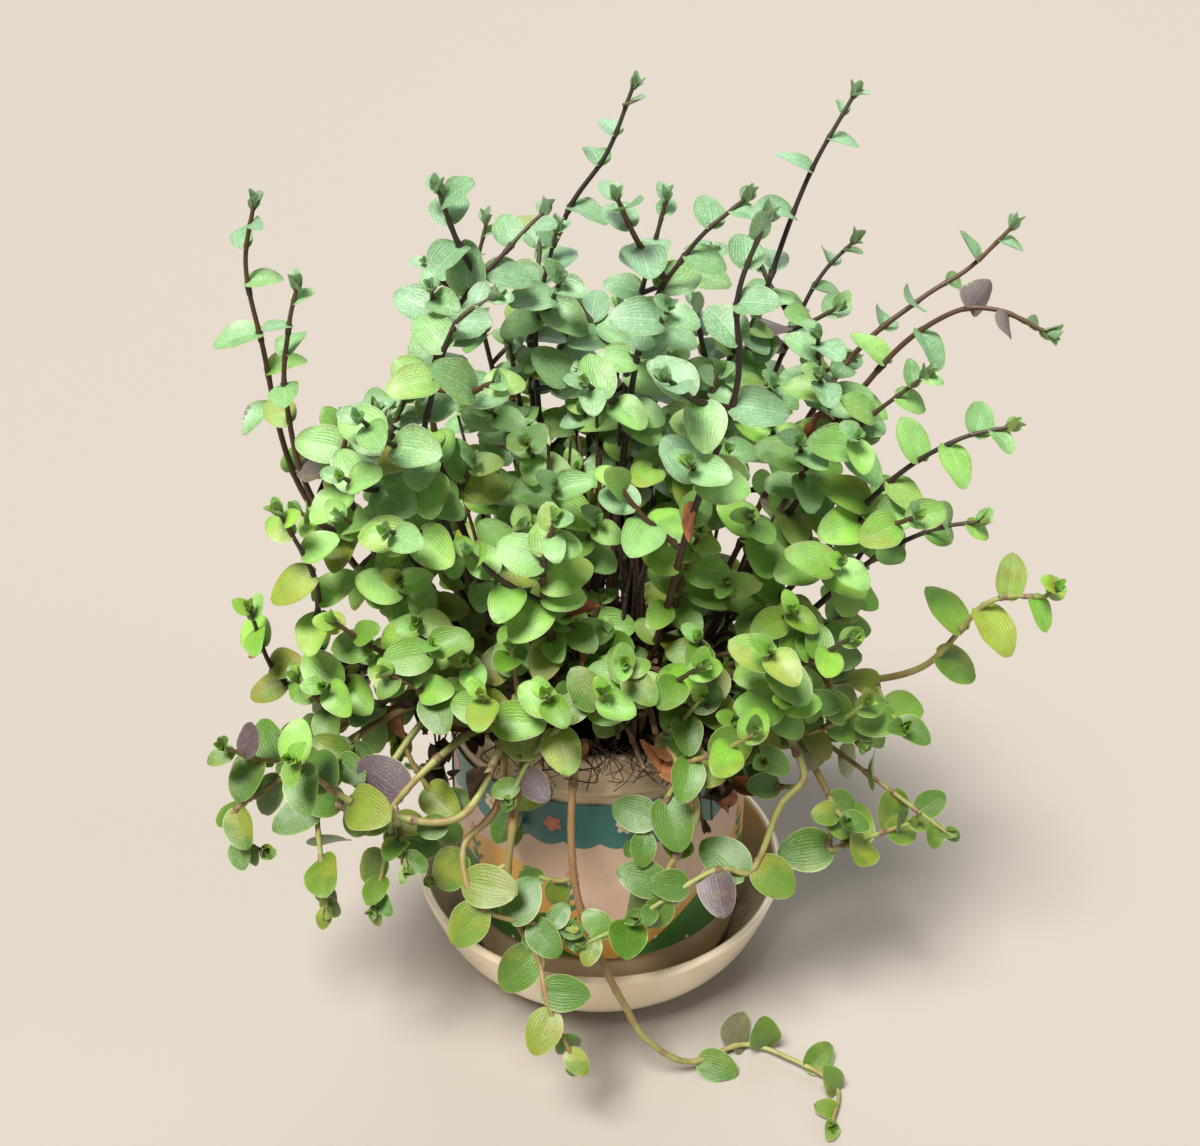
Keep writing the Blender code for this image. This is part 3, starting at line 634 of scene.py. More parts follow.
class Shape:
    """Points, faces, surface positions and material numbers of one mesh."""

    def __init__(self):
        self.points, self.faces, self.spots, self.tones, self.slots = [], [], [], [], []
        self.count = 0

    def add(self, points, faces, spots, slots, tone=(0.5, 0.5)):
        """spots has one (u, v) for each face's corner, or None; slots one number for each face."""
        spots = spots or [(0.5, 0.5)] * sum(map(len, faces))
        self.points.append(np.asarray(points, float))
        self.faces += [[n + self.count for n in face] for face in faces]
        self.spots.append(np.asarray(spots, float))
        self.tones.append(np.tile(np.asarray(tone, float), (len(spots), 1)))
        self.slots += slots if isinstance(slots, list) else [slots] * len(faces)
        self.count += len(points)

    def finish(self, name, finishes, sharp=55):
        """The mesh as an object; no point of it goes below the table."""
        mesh = bpy.data.meshes.new(name)
        points = np.concatenate(self.points) * MM
        points[:, 2] = np.maximum(points[:, 2], 0)
        mesh.from_pydata(points.tolist(), [], self.faces)
        for finish in finishes:
            mesh.materials.append(finish)
        mesh.polygons.foreach_set("material_index", self.slots)
        for label, values in (("surface", self.spots), ("tone", self.tones)):
            layer = mesh.uv_layers.new(name=label)
            layer.data.foreach_set("uv", np.concatenate(values).astype(np.float32).ravel())
        mesh.shade_smooth()
        mesh.set_sharp_from_angle(angle=math.radians(sharp))
        return put(name, mesh)


def ring_faces(rings, sides):
    """Quads between successive rings, facing out for rings that turn left round their path."""
    return [(i * sides + j, i * sides + (j + 1) % sides, (i + 1) * sides + (j + 1) % sides,
             (i + 1) * sides + j) for i in range(rings - 1) for j in range(sides)]


LEAF_GROOVE = 0.22
LEAF_LOBE = 0.1
LEAF_THICKNESS = 0.27
FULL_LEAF = LEAF_LENGTH["trailing"]

Blade = namedtuple("Blade", "across under along half faces corners slots")


def make_blade(across, under, along):
    """The faces, corner positions and material numbers that all leaves of one fineness share.

    across has the columns of the upper side, under the numbers of those that the lower side keeps,
    and along the stations from the heel to the tip.
    """
    columns, rings = len(across), len(along)
    sides = columns + len(under)
    loop = [*range(columns), *under]
    spots = [(across[j] / 2 + 0.5, station) for station in along for j in loop]
    heel, tip = len(spots), len(spots) + 1
    spots += [(0.5, 0), (0.5, 1)]
    faces = [face[::-1] for face in ring_faces(rings, sides)]
    slots = [0 if j < columns - 1 else 1 for _ in range(rings - 1) for j in range(sides)]
    for j in range(sides):
        after = (j + 1) % sides
        faces += [(heel, j, after), ((rings - 1) * sides + j, tip, (rings - 1) * sides + after)]
        slots += [0 if j < columns - 1 else 1] * 2
    corners = [spots[n] for face in faces for n in face]
    half = [math.sin(math.pi * a ** 0.74) ** (0.54 - 0.1 * a ** 2) for a in along]
    return Blade(np.array(across), list(under), np.array(along), np.array(half), faces, corners, slots)


FINE = make_blade((-1, -0.82, -0.48, -0.15, 0, 0.15, 0.48, 0.82, 1), (6, 4, 2),
                  (0.01, 0.04, 0.09, 0.17, 0.28, 0.4, 0.53, 0.66, 0.77, 0.87, 0.945, 0.985))
COARSE = make_blade((-1, -0.6, -0.18, 0, 0.18, 0.6, 1), (4, 2),
                    (0.02, 0.1, 0.25, 0.45, 0.66, 0.85, 0.96))


def leaf_points(leaf, draw, blade, curl=0.0, shrivel=0.0):
    """Points of a thin blade: round clasping base, grooved midrib, waved margin, small point."""
    along, across, half = blade.along[:, None], blade.across[None, :], blade.half[:, None]
    y = across * half * leaf.width / 2 * draw.uniform(0.93, 1.03)
    droop = LEAF_DROOP * draw.uniform(0.4, 1.6) + curl
    cup = leaf.cup * (0.6 + shrivel * 3)
    z = cup * y * y / leaf.width - droop * leaf.length * along ** 2
    z = z + 0.017 * leaf.length * (1 + 4 * shrivel) * across ** 2 * np.sin(
        along * draw.uniform(7, 12) + np.sign(across) * draw.uniform(0.5, 2) + draw.uniform(0, 6))
    z = z + draw.uniform(-0.2, 0.2) * (1 + 2 * shrivel) * y * along
    groove = LEAF_GROOVE * leaf.length / FULL_LEAF
    z = z - groove * np.exp(-(across / 0.1) ** 2) * (1 - along)
    x = along * leaf.length - LEAF_LOBE * leaf.length * across ** 2 * (1 - along) ** 5
    y = y * (1 - shrivel * 0.45) + draw.uniform(-0.05, 0.05) * leaf.length * along ** 2
    thick = LEAF_THICKNESS * (1 - 0.6 * across ** 2) * (0.6 + 0.4 * leaf.length / FULL_LEAF)
    axis, side, normal = (np.array(v) for v in (leaf.axis, leaf.side, leaf.normal))
    grids = []
    for lift in (thick, -thick):
        height = z + lift * np.minimum(1, half * 1.5)
        grids.append(x[..., None] * axis + y[..., None] * side + height[..., None] * normal)
    rings = [np.concatenate([top, below[blade.under]]) for top, below in zip(*grids)]
    ends = [-axis * LEAF_HEEL, axis * leaf.length * 1.02 - normal * droop * leaf.length
            + side * draw.uniform(-0.3, 0.3)]
    return np.concatenate([*rings, ends]) + np.array(leaf.base)


def tube_points(path, radii, sides):
    """Rings round a path that don't twist, closed by a point at each end."""
    path = [np.array(p) for p in path]
    turns = [2 * math.pi * j / sides for j in range(sides)]
    rings, across = [], None
    for i, point in enumerate(path):
        along = path[min(i + 1, len(path) - 1)] - path[max(i - 1, 0)]
        along = along / np.linalg.norm(along)
        if across is None:
            across = np.array(Vector(along).orthogonal())
        across = across - along * across.dot(along)
        across = across / np.linalg.norm(across)
        other = np.cross(along, across)
        rings.append([point + radii[i] * (across * math.cos(t) + other * math.sin(t))
                      for t in turns])
    return np.concatenate([*rings, [path[0]], [path[-1]]])


def spans_of(path, unit=1):
    """The distance of each point from the first along the path, in this many millimetres."""
    spans = [0.0]
    for a, b in zip(path, path[1:]):
        spans.append(spans[-1] + (b - a).length / unit)
    return spans


def add_tube(shape, path, radii, sides, slot, tone):
    """A closed tube; v on its surface is the distance in decimetres from its first point."""
    rings = len(path)
    faces = ring_faces(rings, sides)
    spans = spans_of(path, 100)
    spots = [((j + k) / sides, spans[i + r]) for i in range(rings - 1) for j in range(sides)
             for k, r in ((0, 0), (1, 0), (1, 1), (0, 1))]
    foot, top = rings * sides, rings * sides + 1
    for j in range(sides):
        after = (j + 1) % sides
        faces += [(foot, after, j), (top, (rings - 1) * sides + j, (rings - 1) * sides + after)]
        spots += [(0.5, 0)] * 3 + [(0.5, spans[-1])] * 3
    shape.add(tube_points(path, radii, sides), faces, spots, slot, tone)


ROUND_STEPS = 144


def turned_piece(name, profile, finish, sharp=40):
    """A round piece from a closed profile of (radius, height), outer side going up."""
    shape = Shape()
    rings = len(profile)
    turns = [2 * math.pi * k / ROUND_STEPS for k in range(ROUND_STEPS)]
    points = [(r * math.sin(t), -r * math.cos(t), z) for t in turns for r, z in profile]
    spans = [0.0]
    for a, b in zip(profile, [*profile[1:], profile[0]]):
        spans.append(spans[-1] + math.dist(a, b) / 100)
    faces, spots = [], []
    for k in range(ROUND_STEPS):
        for j in range(rings):
            after, beside = (j + 1) % rings, (k + 1) % ROUND_STEPS
            faces.append((k * rings + j, beside * rings + j, beside * rings + after,
                          k * rings + after))
            spots += [((k + m) / ROUND_STEPS, spans[j + n])
                      for m, n in ((0, 0), (1, 0), (1, 1), (0, 1))]
    shape.add(points, faces, spots, 0)
    return shape.finish(name, [finish], sharp)


# Materials

class Value:
    """A value in a material's node tree. Sums and products of values make its math nodes."""

    def __init__(self, tree, socket):
        self.tree, self.socket = tree, socket

    def apply(self, operation, a=None, b=0.0):
        """The result of a math node whose first input is this value, unless a is given."""
        node = self.tree.nodes.new("ShaderNodeMath")
        node.operation = operation
        feed(node.inputs[0], self if a is None else a)
        feed(node.inputs[1], b)
        return Value(self.tree, node.outputs[0])

    def __add__(self, other):
        return self.apply("ADD", b=other)

    def __sub__(self, other):
        return self.apply("SUBTRACT", b=other)

    def __rsub__(self, other):
        return self.apply("SUBTRACT", other, self)

    def __mul__(self, other):
        return self.apply("MULTIPLY", b=other)

    def __pow__(self, other):
        return self.apply("POWER", b=other)

    def __abs__(self):
        return self.apply("ABSOLUTE")


def new_finish(name, roughness, settings=()):
    """A material, its node tree and its shader, with pairs of an input and its value set."""
    made = bpy.data.materials.new(name)
    made.use_nodes = True
    shader = made.node_tree.nodes["Principled BSDF"]
    for label, value in (("Roughness", roughness), *settings):
        shader.inputs[label].default_value = value
    return made, made.node_tree, shader


def feed(socket, value):
    """Links a value to the socket, or sets the socket's own value."""
    if isinstance(value, Value):
        value.tree.links.new(value.socket, socket)
    else:
        socket.default_value = (*value, 1) if isinstance(value, tuple) else value


def mixed(share, a, b):
    """Colour a where the share is 0, and b where it is 1."""
    node = share.tree.nodes.new("ShaderNodeMix")
    node.data_type = "RGBA"
    for index, value in ((0, share), (6, a), (7, b)):
        feed(node.inputs[index], value)
    return Value(share.tree, node.outputs[2])


def paint(shader, colour, *coats):
    """Colours the surface; each coat is a share, and what it turns the colour towards."""
    for share, coat in coats:
        colour = mixed(share, colour, coat)
    feed(shader.inputs["Base Color"], colour)


def ramp(share, low, high):
    """0 below low and 1 above high, smooth between them."""
    node = share.tree.nodes.new("ShaderNodeMapRange")
    node.interpolation_type = "SMOOTHSTEP"
    for index, value in enumerate((share, low, high)):
        feed(node.inputs[index], value)
    return Value(share.tree, node.outputs[0])


def object_place(tree):
    """The place on a piece, in its own space."""
    return tree.nodes.new("ShaderNodeTexCoord").outputs["Object"]


def parts_of(tree, vector):
    """The three parts of a vector."""
    node = tree.nodes.new("ShaderNodeSeparateXYZ")
    tree.links.new(vector, node.inputs[0])
    return [Value(tree, part) for part in node.outputs]


def height_of(tree):
    """Height above the table, in metres."""
    return parts_of(tree, object_place(tree))[2]


def surface(tree, label):
    """The two coordinates of a surface position."""
    node = tree.nodes.new("ShaderNodeUVMap")
    node.uv_map = label
    return parts_of(tree, node.outputs[0])[:2]


def grain(tree, scale, detail=3.0, stretch=None, rough=0.55):
    """Noise in the object's own space, scale in cells a metre."""
    place = object_place(tree)
    if stretch:
        bend = tree.nodes.new("ShaderNodeMapping")
        bend.inputs["Scale"].default_value = stretch
        tree.links.new(place, bend.inputs[0])
        place = bend.outputs[0]
    node = tree.nodes.new("ShaderNodeTexNoise")
    for label, value in (("Scale", scale), ("Detail", detail), ("Roughness", rough)):
        node.inputs[label].default_value = value
    tree.links.new(place, node.inputs["Vector"])
    return Value(tree, node.outputs[0])


def bump(shader, height, distance, strength=1.0):
    """Lets the height stand proud of the surface by this many metres."""
    node = height.tree.nodes.new("ShaderNodeBump")
    for label, value in (("Strength", strength), ("Distance", distance), ("Height", height)):
        feed(node.inputs[label], value)
    height.tree.links.new(node.outputs[0], shader.inputs["Normal"])


LEAF_GLOSS = (("Specular IOR Level", 0.75), ("Coat Weight", 0.22), ("Coat Roughness", 0.36),
              ("Subsurface Weight", 0.2), ("Subsurface Radius", (0.5, 0.9, 0.12)),
              ("Subsurface Scale", 0.0025))
SUNLIT = (0.24, 0.33, 0.014)
FLUSH = (0.31, 0.30, 0.02)


def leaf_finish(name, low, middle, high, dark, veins, margin, blotch=None, roughness=0.44):
    """Blade colour by height on the plant, darkened low down as painted shade and lightened in the
    middle as painted light, with faint long veins, a thin margin that is also a painted rim highlight,
    mottling and fine specks that are painted glints.
    """
    made, tree, shader = new_finish(name, roughness, LEAF_GLOSS)
    u, v = surface(tree, "surface")
    chance, height = surface(tree, "tone")
    centre = abs(u - 0.5) * 2.0
    soft, broad = grain(tree, 210), grain(tree, 90, 2)
    fine = grain(tree, 1500, 4, rough=0.7)
    vein_and_glint = mixed(ramp(height, 0.1, 0.85), *veins)
    # Each leaf's own tone: some are bluish, some sunlit
    other = (chance * 7.3).apply("FRACT")
    cool = (1.0 - ramp(other, 0.05, 0.5)) * ramp(height, 0.22, 0.5)
    sunny = ramp(other, 0.6, 0.95) * (1.0 - ramp(height, 0.4, 0.9))
    # Long veins that come and go
    phase = centre * 38.0 + (soft - 0.5) * 2.4
    stripe = (phase.apply("SINE") + 1.0) * 0.5
    stripe = stripe * (1.0 - ramp(centre, 0.75, 0.97)) * ramp(grain(tree, 340, 2), 0.32, 0.62)
    if blotch:
        patch = ramp(grain(tree, 130) + v * 0.16, 0.56, 0.8)
    else:
        patch = ramp(grain(tree, 75, 3), 0.47, 0.64) * (1.0 - ramp(height, 0.35, 1.0))
        patch = patch * ramp(other, 0.25, 0.8)
    # The height coats add painted shade to the low leaves and painted light to the middle ones, on top
    # of their real change from yellow-green to blue-green. The last coats are a dark line inside the
    # pale margin, the margin, which is also a painted rim highlight, and fine pale specks, which are
    # painted glints
    paint(shader, low, (ramp(height, 0.02, 0.36), middle), (ramp(height, 0.4, 0.95), high),
          (cool * 0.62, high), (sunny * 0.45, SUNLIT), (chance ** 1.6 * 0.42, dark),
          (ramp(soft, 0.45, 0.72) * 0.3, dark), (ramp(broad, 0.5, 0.72) * 0.4, low),
          (stripe * 0.2, vein_and_glint), ((1.0 - ramp(centre, 0.012, 0.05)) * 0.25, vein_and_glint),
          ((1.0 - ramp(v, 0.02, 0.22)) * 0.3, low), (patch * 0.6, blotch or FLUSH),
          (ramp(centre, 0.82, 0.93) * 0.3, dark), (ramp(centre, 0.93, 0.98) * 0.8, margin),
          (ramp(fine, 0.48, 0.68) * 0.42, vein_and_glint))
    bump(shader, stripe * -0.4 + fine, 0.00025, 0.8)
    return made


def stem_finish(name, tip, body, patch, foot):
    """Stem colour from its tip through its body to its old foot, with streaks along it."""
    made, tree, shader = new_finish(name, 0.5)
    _, v = surface(tree, "surface")
    chance, _ = surface(tree, "tone")
    streak = grain(tree, 900, 3, (1, 1, 0.16))
    paint(shader, tip, (ramp(v, 0.03, 0.24), body), (ramp(v, 0.75, 1.5), foot),
          (ramp(chance, 0.4, 0.9) * 0.65, foot), (ramp(grain(tree, 120), 0.45, 0.68) * 0.7, patch),
          (ramp(streak, 0.55, 0.8) * 0.3, tip))
    bump(shader, streak, 0.0003, 0.6)
    return made


def plain_finish(name, colour, other, scale, roughness, relief=0.0):
    """Two tones in clouds, with grain that stands proud by relief metres."""
    made, tree, shader = new_finish(name, roughness)
    cloud, fine = grain(tree, scale, 5), grain(tree, scale * 7, 4)
    paint(shader, colour, (ramp(cloud, 0.36, 0.66), other), (ramp(fine, 0.45, 0.7) * 0.35, other))
    if relief:
        bump(shader, cloud + fine * 0.4, relief)
    return made


# The plant's pieces

PLANT_LOW, PLANT_HIGH = 112.0, 272.0
FLIPPED = {"upright": 0, "slender": 0.12, "trailing": 0.07}
SLENDER_FOLD = 2.2
OLD_SHARE = {"upright": 1.0, "slender": 0.6, "trailing": 0.35}
TRAILING_THIN = 0.88
STEM_SIDES = 8
ANY_SPIN = (0, 6.28)
BUD_SIZES, SHOOT_BUD_SIZES = (4.6, 6.2), (4.2, 5.6)
TOP, UNDER, YELLOW, PURPLE, STEM, PALE, NODE, DARK_NODE = range(8)


def nearest_on(path, point):
    """The point of a smooth path that is nearest to this one."""
    best, best_gap = path[-1], math.inf
    for a, b in zip(path, path[1:]):
        part = b - a
        share = min(1.0, max(0.0, (point - a).dot(part) / part.length_squared))
        there = a + part * share
        gap = (there - point).length
        if gap < best_gap:
            best, best_gap = there, gap
    return best


def height_tone(leaf, draw):
    """0 for the low yellow-green leaves and 1 for the high blue-green ones."""
    reach = leaf.base.z + 0.28 * max(0.0, leaf.base.y)
    share = (reach - PLANT_LOW) / (PLANT_HIGH - PLANT_LOW) + draw.uniform(-0.16, 0.16)
    return min(1.0, max(0.0, share))


def add_leaf(shape, leaf, habit, draw):
    """A blade; old low ones are yellow, and some turn their purple underside up."""
    height = height_tone(leaf, draw)
    old = leaf.order > 2 and draw.random() < 0.02 + 0.26 * (1 - height) * OLD_SHARE[habit]
    purple = habit != "upright" and draw.random() < 0.4
    if leaf.order > 1 and draw.random() < FLIPPED[habit]:
        leaf = leaf._replace(normal=-leaf.normal, side=-leaf.side)
        purple = True
    fold = SLENDER_FOLD if habit == "slender" else draw.uniform(0.7, 1.6)
    leaf = leaf._replace(cup=leaf.cup * fold)
    slots = [YELLOW if old and s == TOP else PURPLE if purple and s == UNDER else s
             for s in FINE.slots]
    points = leaf_points(leaf, draw, FINE, draw.uniform(-0.07, 0.12))
    shape.add(points, FINE.faces, FINE.corners, slots, (draw.random(), height))


def add_stem(shape, path, habit, bases, full, draw):
    """A smooth stem from its tip down, swollen at its nodes and sheathed under each leaf."""
    fine = even_points(path, 1.5)[::-1]
    spans = spans_of(fine)
    marks = [spans[min(range(len(fine)), key=lambda i: (fine[i] - base).length)] for base in bases]
    bare = max(marks, default=0) + 12
    while bare < spans[-1] - 8:
        marks.append(bare + draw.uniform(-1.5, 1.5))
        bare += draw.uniform(10, 15)
    radii = []
    for span in spans:
        share = 1 - span / spans[-1]
        radius = TIP_RADIUS + (full - TIP_RADIUS) * min(1.0, (1 - share) / 0.5 + 0.1)
        swell = sum(math.exp(-((span - mark) / 0.9) ** 2) for mark in marks)
        radii.append(radius * (0.9 + 0.2 * min(1.0, swell)))
    stem, sheath = (PALE, NODE) if habit == "trailing" else (STEM, DARK_NODE)
    add_tube(shape, fine, radii, STEM_SIDES, stem, (draw.random(), draw.random()))
    for mark in marks:
        inside = [i for i, span in enumerate(spans) if mark - 0.4 <= span <= mark + 3.4]
        if mark >= 6 and len(inside) > 2:
            ring = [radii[i] * (1.22 - 0.07 * k / len(inside)) + 0.06 for k, i in enumerate(inside)]
            add_tube(shape, [fine[i] for i in inside], ring, STEM_SIDES, sheath, (draw.random(), 0.5))


def loose_leaf(base, axis, normal, length, width_share, cup):
    """A leaf that isn't in a stem's own row."""
    return Leaf("", 0, base, axis, normal.cross(axis), normal, length, length * width_share, cup)


def add_bud(shape, path, draw, size):
    """Young leaves rolled round the tip of a stem, which hide its end."""
    tip = path[-1]
    along = (tip - path[-3]).normalized()
    rise = (along + LIGHT * 0.5).normalized()
    side = rise.orthogonal().normalized()
    side.rotate(Matrix.Rotation(draw.uniform(*ANY_SPIN), 3, rise))
    for turn, lean, share in ((0, 0.16, 1.0), (2.6, 0.36, 0.9), (4.6, 0.62, 0.95)):
        out = side.copy()
        out.rotate(Matrix.Rotation(turn, 3, rise))
        axis = (rise + out * lean).normalized()
        normal = (-out + axis * out.dot(axis)).normalized()
        leaf = loose_leaf(tip - rise * 1.2 + out * 0.15, axis, normal, size * share, 0.62, 2.6)
        shape.add(leaf_points(leaf, draw, COARSE, -0.1), COARSE.faces, COARSE.corners, COARSE.slots,
                  (draw.random() * 0.5, height_tone(leaf, draw)))


def dress_stem(shape, path, habit, leaves, leaf_habit, full, buds, draw):
    """A stem or a side shoot, with its leaves moved onto its smooth path and a bud at its tip."""
    bases = []
    for leaf in leaves:
        bases.append(nearest_on(path, leaf.base))
        add_leaf(shape, leaf._replace(base=bases[-1]), leaf_habit, draw)
    add_stem(shape, path, habit, bases, full, draw)
    add_bud(shape, path, draw, draw.uniform(*buds))


def dress_plant(paths, shoots, leaves, finishes):
    """One piece for each stem, with its leaves, its side shoots and their leaves."""
    own = {name: [] for name in (*paths, *shoots)}
    for leaf in leaves:
        own[leaf.stem].append(leaf)
    for index, (name, (path, habit)) in enumerate(paths.items()):
        draw = random.Random(SEED * 97 + index)
        shape = Shape()
        full = TRAILING_RADIUS * TRAILING_THIN if habit == "trailing" else STEM_RADIUS
        dress_stem(shape, path, habit, own[name], habit, full, BUD_SIZES, draw)
        for shoot, (shoot_path, _) in shoots.items():
            if shoot.split("/")[0] == name:
                dress_stem(shape, shoot_path, habit, own[shoot], "upright", SHOOT_RADIUS,
                           SHOOT_BUD_SIZES, draw)
        piece = shape.finish("callisia_" + name, finishes)
        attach(piece, "root")
        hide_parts("stem_" + name)


def plant_finishes():
    """In the order of TOP, UNDER, YELLOW, PURPLE, STEM, PALE, NODE and DARK_NODE."""
    return [
        # leaf_top's low colour is darkened as painted shade under the canopy and its middle one
        # lightened as painted light; the pale vein colour also paints glints, and the margin colour a
        # rim highlight
        leaf_finish("leaf_top", (0.056, 0.132, 0.0040), (0.310, 0.665, 0.054), (0.190, 0.365, 0.200),
                    (0.060, 0.200, 0.014), ((0.14, 0.25, 0.028), (0.54, 0.76, 0.50)),
                    (0.33, 0.46, 0.15)),
        leaf_finish("leaf_under", (0.13, 0.22, 0.04), (0.16, 0.29, 0.07), (0.17, 0.30, 0.16),
                    (0.09, 0.15, 0.05), ((0.24, 0.34, 0.08), (0.28, 0.40, 0.24)),
                    (0.34, 0.40, 0.20), roughness=0.5),
        leaf_finish("leaf_yellowing", (0.135, 0.17, 0.008), (0.34, 0.47, 0.03), (0.28, 0.45, 0.12),
                    (0.14, 0.24, 0.015), ((0.24, 0.30, 0.035), (0.46, 0.60, 0.26)),
                    (0.36, 0.34, 0.09), (0.27, 0.18, 0.016)),
        leaf_finish("leaf_purple", (0.085, 0.042, 0.052), (0.11, 0.062, 0.07), (0.13, 0.09, 0.088),
                    (0.055, 0.022, 0.035), ((0.22, 0.19, 0.19), (0.25, 0.23, 0.22)),
                    (0.28, 0.26, 0.16), roughness=0.55),
        stem_finish("stem_dark", (0.05, 0.042, 0.018), (0.017, 0.009, 0.006), (0.06, 0.022, 0.012),
                    (0.13, 0.06, 0.026)),
        stem_finish("stem_pale", (0.24, 0.34, 0.08), (0.32, 0.33, 0.10), (0.25, 0.115, 0.05),
                    (0.26, 0.15, 0.06)),
        plain_finish("node_sheath", (0.28, 0.21, 0.10), (0.13, 0.07, 0.035), 500, 0.6, 0.0002),
        plain_finish("node_dark", (0.075, 0.05, 0.028), (0.035, 0.018, 0.012), 500, 0.6, 0.0002),
    ]


# The bowl and the tub

def smooth_profile(controls, step):
    """A profile of (radius, height) points made smooth through its controls."""
    points = [Vector((r, 0, z)) for r, z in controls]
    path = smooth_route(2 * points[0] - points[1], points, step)
    return [(max(0.0, p.x), p.z) for p in path]


def make_dish():
    """The glazed bowl, with the stains that water has left inside it, and painted shade that darkens
    its whole inside.
    """
    round_off = DISH_WALL / 2
    outer = smooth_profile([(DISH_FOOT_RADIUS, 0.0), (44.0, 2.6), (53.0, 9.0), (60.6, 18.0),
                            (65.2, 29.0), (DISH_RADIUS - 0.3, 35.6)], 1.5)
    lip = [(DISH_RADIUS - round_off + round_off * math.cos(a),
            DISH_HEIGHT - round_off + round_off * math.sin(a))
           for a in (math.radians(d) for d in range(0, 181, 20))]
    inner = smooth_profile([(DISH_RADIUS - DISH_WALL - 0.3, 35.0), (59.6, 23.0), (50.4, 10.5),
                            (44.0, DISH_FLOOR + 0.2), (38.0, DISH_FLOOR)], 1.5)
    foot = [(38.5, 0.0), (37.5, 0.8), (36.8, 1.6), (0.02, 1.6)]
    outside = [(0.02, DISH_FLOOR), *foot[::-1], *outer, *lip]
    lip_end = sum(math.dist(*pair) for pair in zip(outside, outside[1:])) / 100
    made, tree, shader = new_finish("dish_glaze", 0.3, (("Coat Weight", 0.5),
                                                        ("Coat Roughness", 0.12)))
    _, v = surface(tree, "surface")
    inside = ramp(v, lip_end - 0.01, lip_end + 0.02)
    cloud, grit = grain(tree, 38, 6), grain(tree, 420, 5)
    tide = 1.0 - ramp(height_of(tree) + cloud * 0.012, 0.020, 0.034)
    film = inside * (tide * ramp(grain(tree, 75, 6, (1, 1, 0.3)), 0.3, 0.62))
    crust = inside * (ramp(grit, 0.56, 0.66) * ramp(cloud, 0.46, 0.6))
    smudge = ramp(grain(tree, 26, 6), 0.58, 0.74)
    # The inside's brown coat is partly water staining and partly painted shade in the bowl's hollow;
    # the film, crust and smudge are stains
    paint(shader, (0.93, 0.80, 0.61), (ramp(cloud, 0.35, 0.7), (0.86, 0.70, 0.49)),
          (inside * 0.5, (0.44, 0.30, 0.14)), (film * 0.85, (0.13, 0.10, 0.055)),
          (crust * 0.7, (0.52, 0.47, 0.38)), (smudge * 0.22, (0.34, 0.24, 0.13)))
    bump(shader, grain(tree, 700, 3) + crust * 3.0, 0.00008, 0.7)
    piece = turned_piece("dish_bowl", [*outside, *inner], made, 50)
    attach(piece, "root")
    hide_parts("dish")


def make_pot():
    """The plain plastic tub, with a moulded step, a rolled rim, and dark patches that grow denser
    towards its top.
    """
    base = DISH_FLOOR + FIT_GAP
    inner = POT_RADIUS - POT_WALL
    side = smooth_profile([(43.0, base), (46.3, base + 1.6), (48.9, base + 5.0),
                           (POT_RADIUS - 0.2, base + 12)], 1.0)
    bead = [(POT_RADIUS, z) for z in (40.0, 60.0, 80.0, 100.2)]
    bead += [(POT_RADIUS + 0.9, 100.9), (POT_RADIUS + 1.0, 101.6), (POT_RADIUS + 0.9, 102.4),
             (POT_RADIUS + 0.5, 103.0), (POT_RADIUS + 0.5, 111.4)]
    rim = [(RIM_RADIUS - 1.2 + 1.2 * math.cos(a), POT_TOP - 1.9 + 1.9 * math.sin(a))
           for a in (math.radians(d) for d in range(-70, 141, 15))]
    inside = [(inner + 0.4, POT_TOP - 0.9), (inner, POT_TOP - 2.4), (inner, 90.0), (inner, base + 11),
              (42.0, base + POT_FLOOR), (0.02, base + POT_FLOOR), (0.02, base)]
    made, tree, shader = new_finish("pot_plastic", 0.42)
    # Dark patches all over the tub, denser in the top 13 millimetres up to the rim
    near_rim = ramp(height_of(tree), 0.103, 0.116)
    dark_patches = ramp(grain(tree, 90, 5, (1, 1, 0.3)), 0.5, 0.72) * (near_rim * 0.5 + 0.14)
    paint(shader, (0.66, 0.52, 0.34), (ramp(grain(tree, 30, 5), 0.35, 0.7), (0.60, 0.45, 0.28)),
          (dark_patches, (0.16, 0.10, 0.055)))
    bump(shader, grain(tree, 1600, 2), 0.00006, 0.5)
    piece = turned_piece("pot_tub", [*side, *bead, *rim, *inside], made)
    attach(piece, "root")
    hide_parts("pot")


# The printed sleeve: sky band above, pale field, round hills below, with flowers and sprigs

PRINT_RADIUS = POT_RADIUS + FIT_GAP + LABEL_THICKNESS
PRINT_LIFT = 0.07
BLOB_STEPS, PETAL_STEPS, STROKE_STEPS = 40, 9, 8
FLOWERS, SPRIGS, DOTS = 14, 9, 26
CREAM, ROSE, GOLD, GREEN, CORAL = range(5)
INKS = (("print_cream", (0.72, 0.62, 0.47), (0.66, 0.55, 0.40)),
        ("print_rose", (0.60, 0.20, 0.17), (0.55, 0.17, 0.15)),
        ("print_gold", (0.66, 0.40, 0.08), (0.60, 0.34, 0.07)),
        ("print_leaf", (0.06, 0.19, 0.08), (0.05, 0.16, 0.07)),
        ("print_coral", (0.62, 0.22, 0.12), (0.58, 0.19, 0.11)))


def on_print(across, height, layer):
    """A place on the sleeve, from millimetres round it from the front and height."""
    turn = across / PRINT_RADIUS
    radius = PRINT_RADIUS + PRINT_LIFT * layer
    return (radius * math.sin(turn), -radius * math.cos(turn), height)


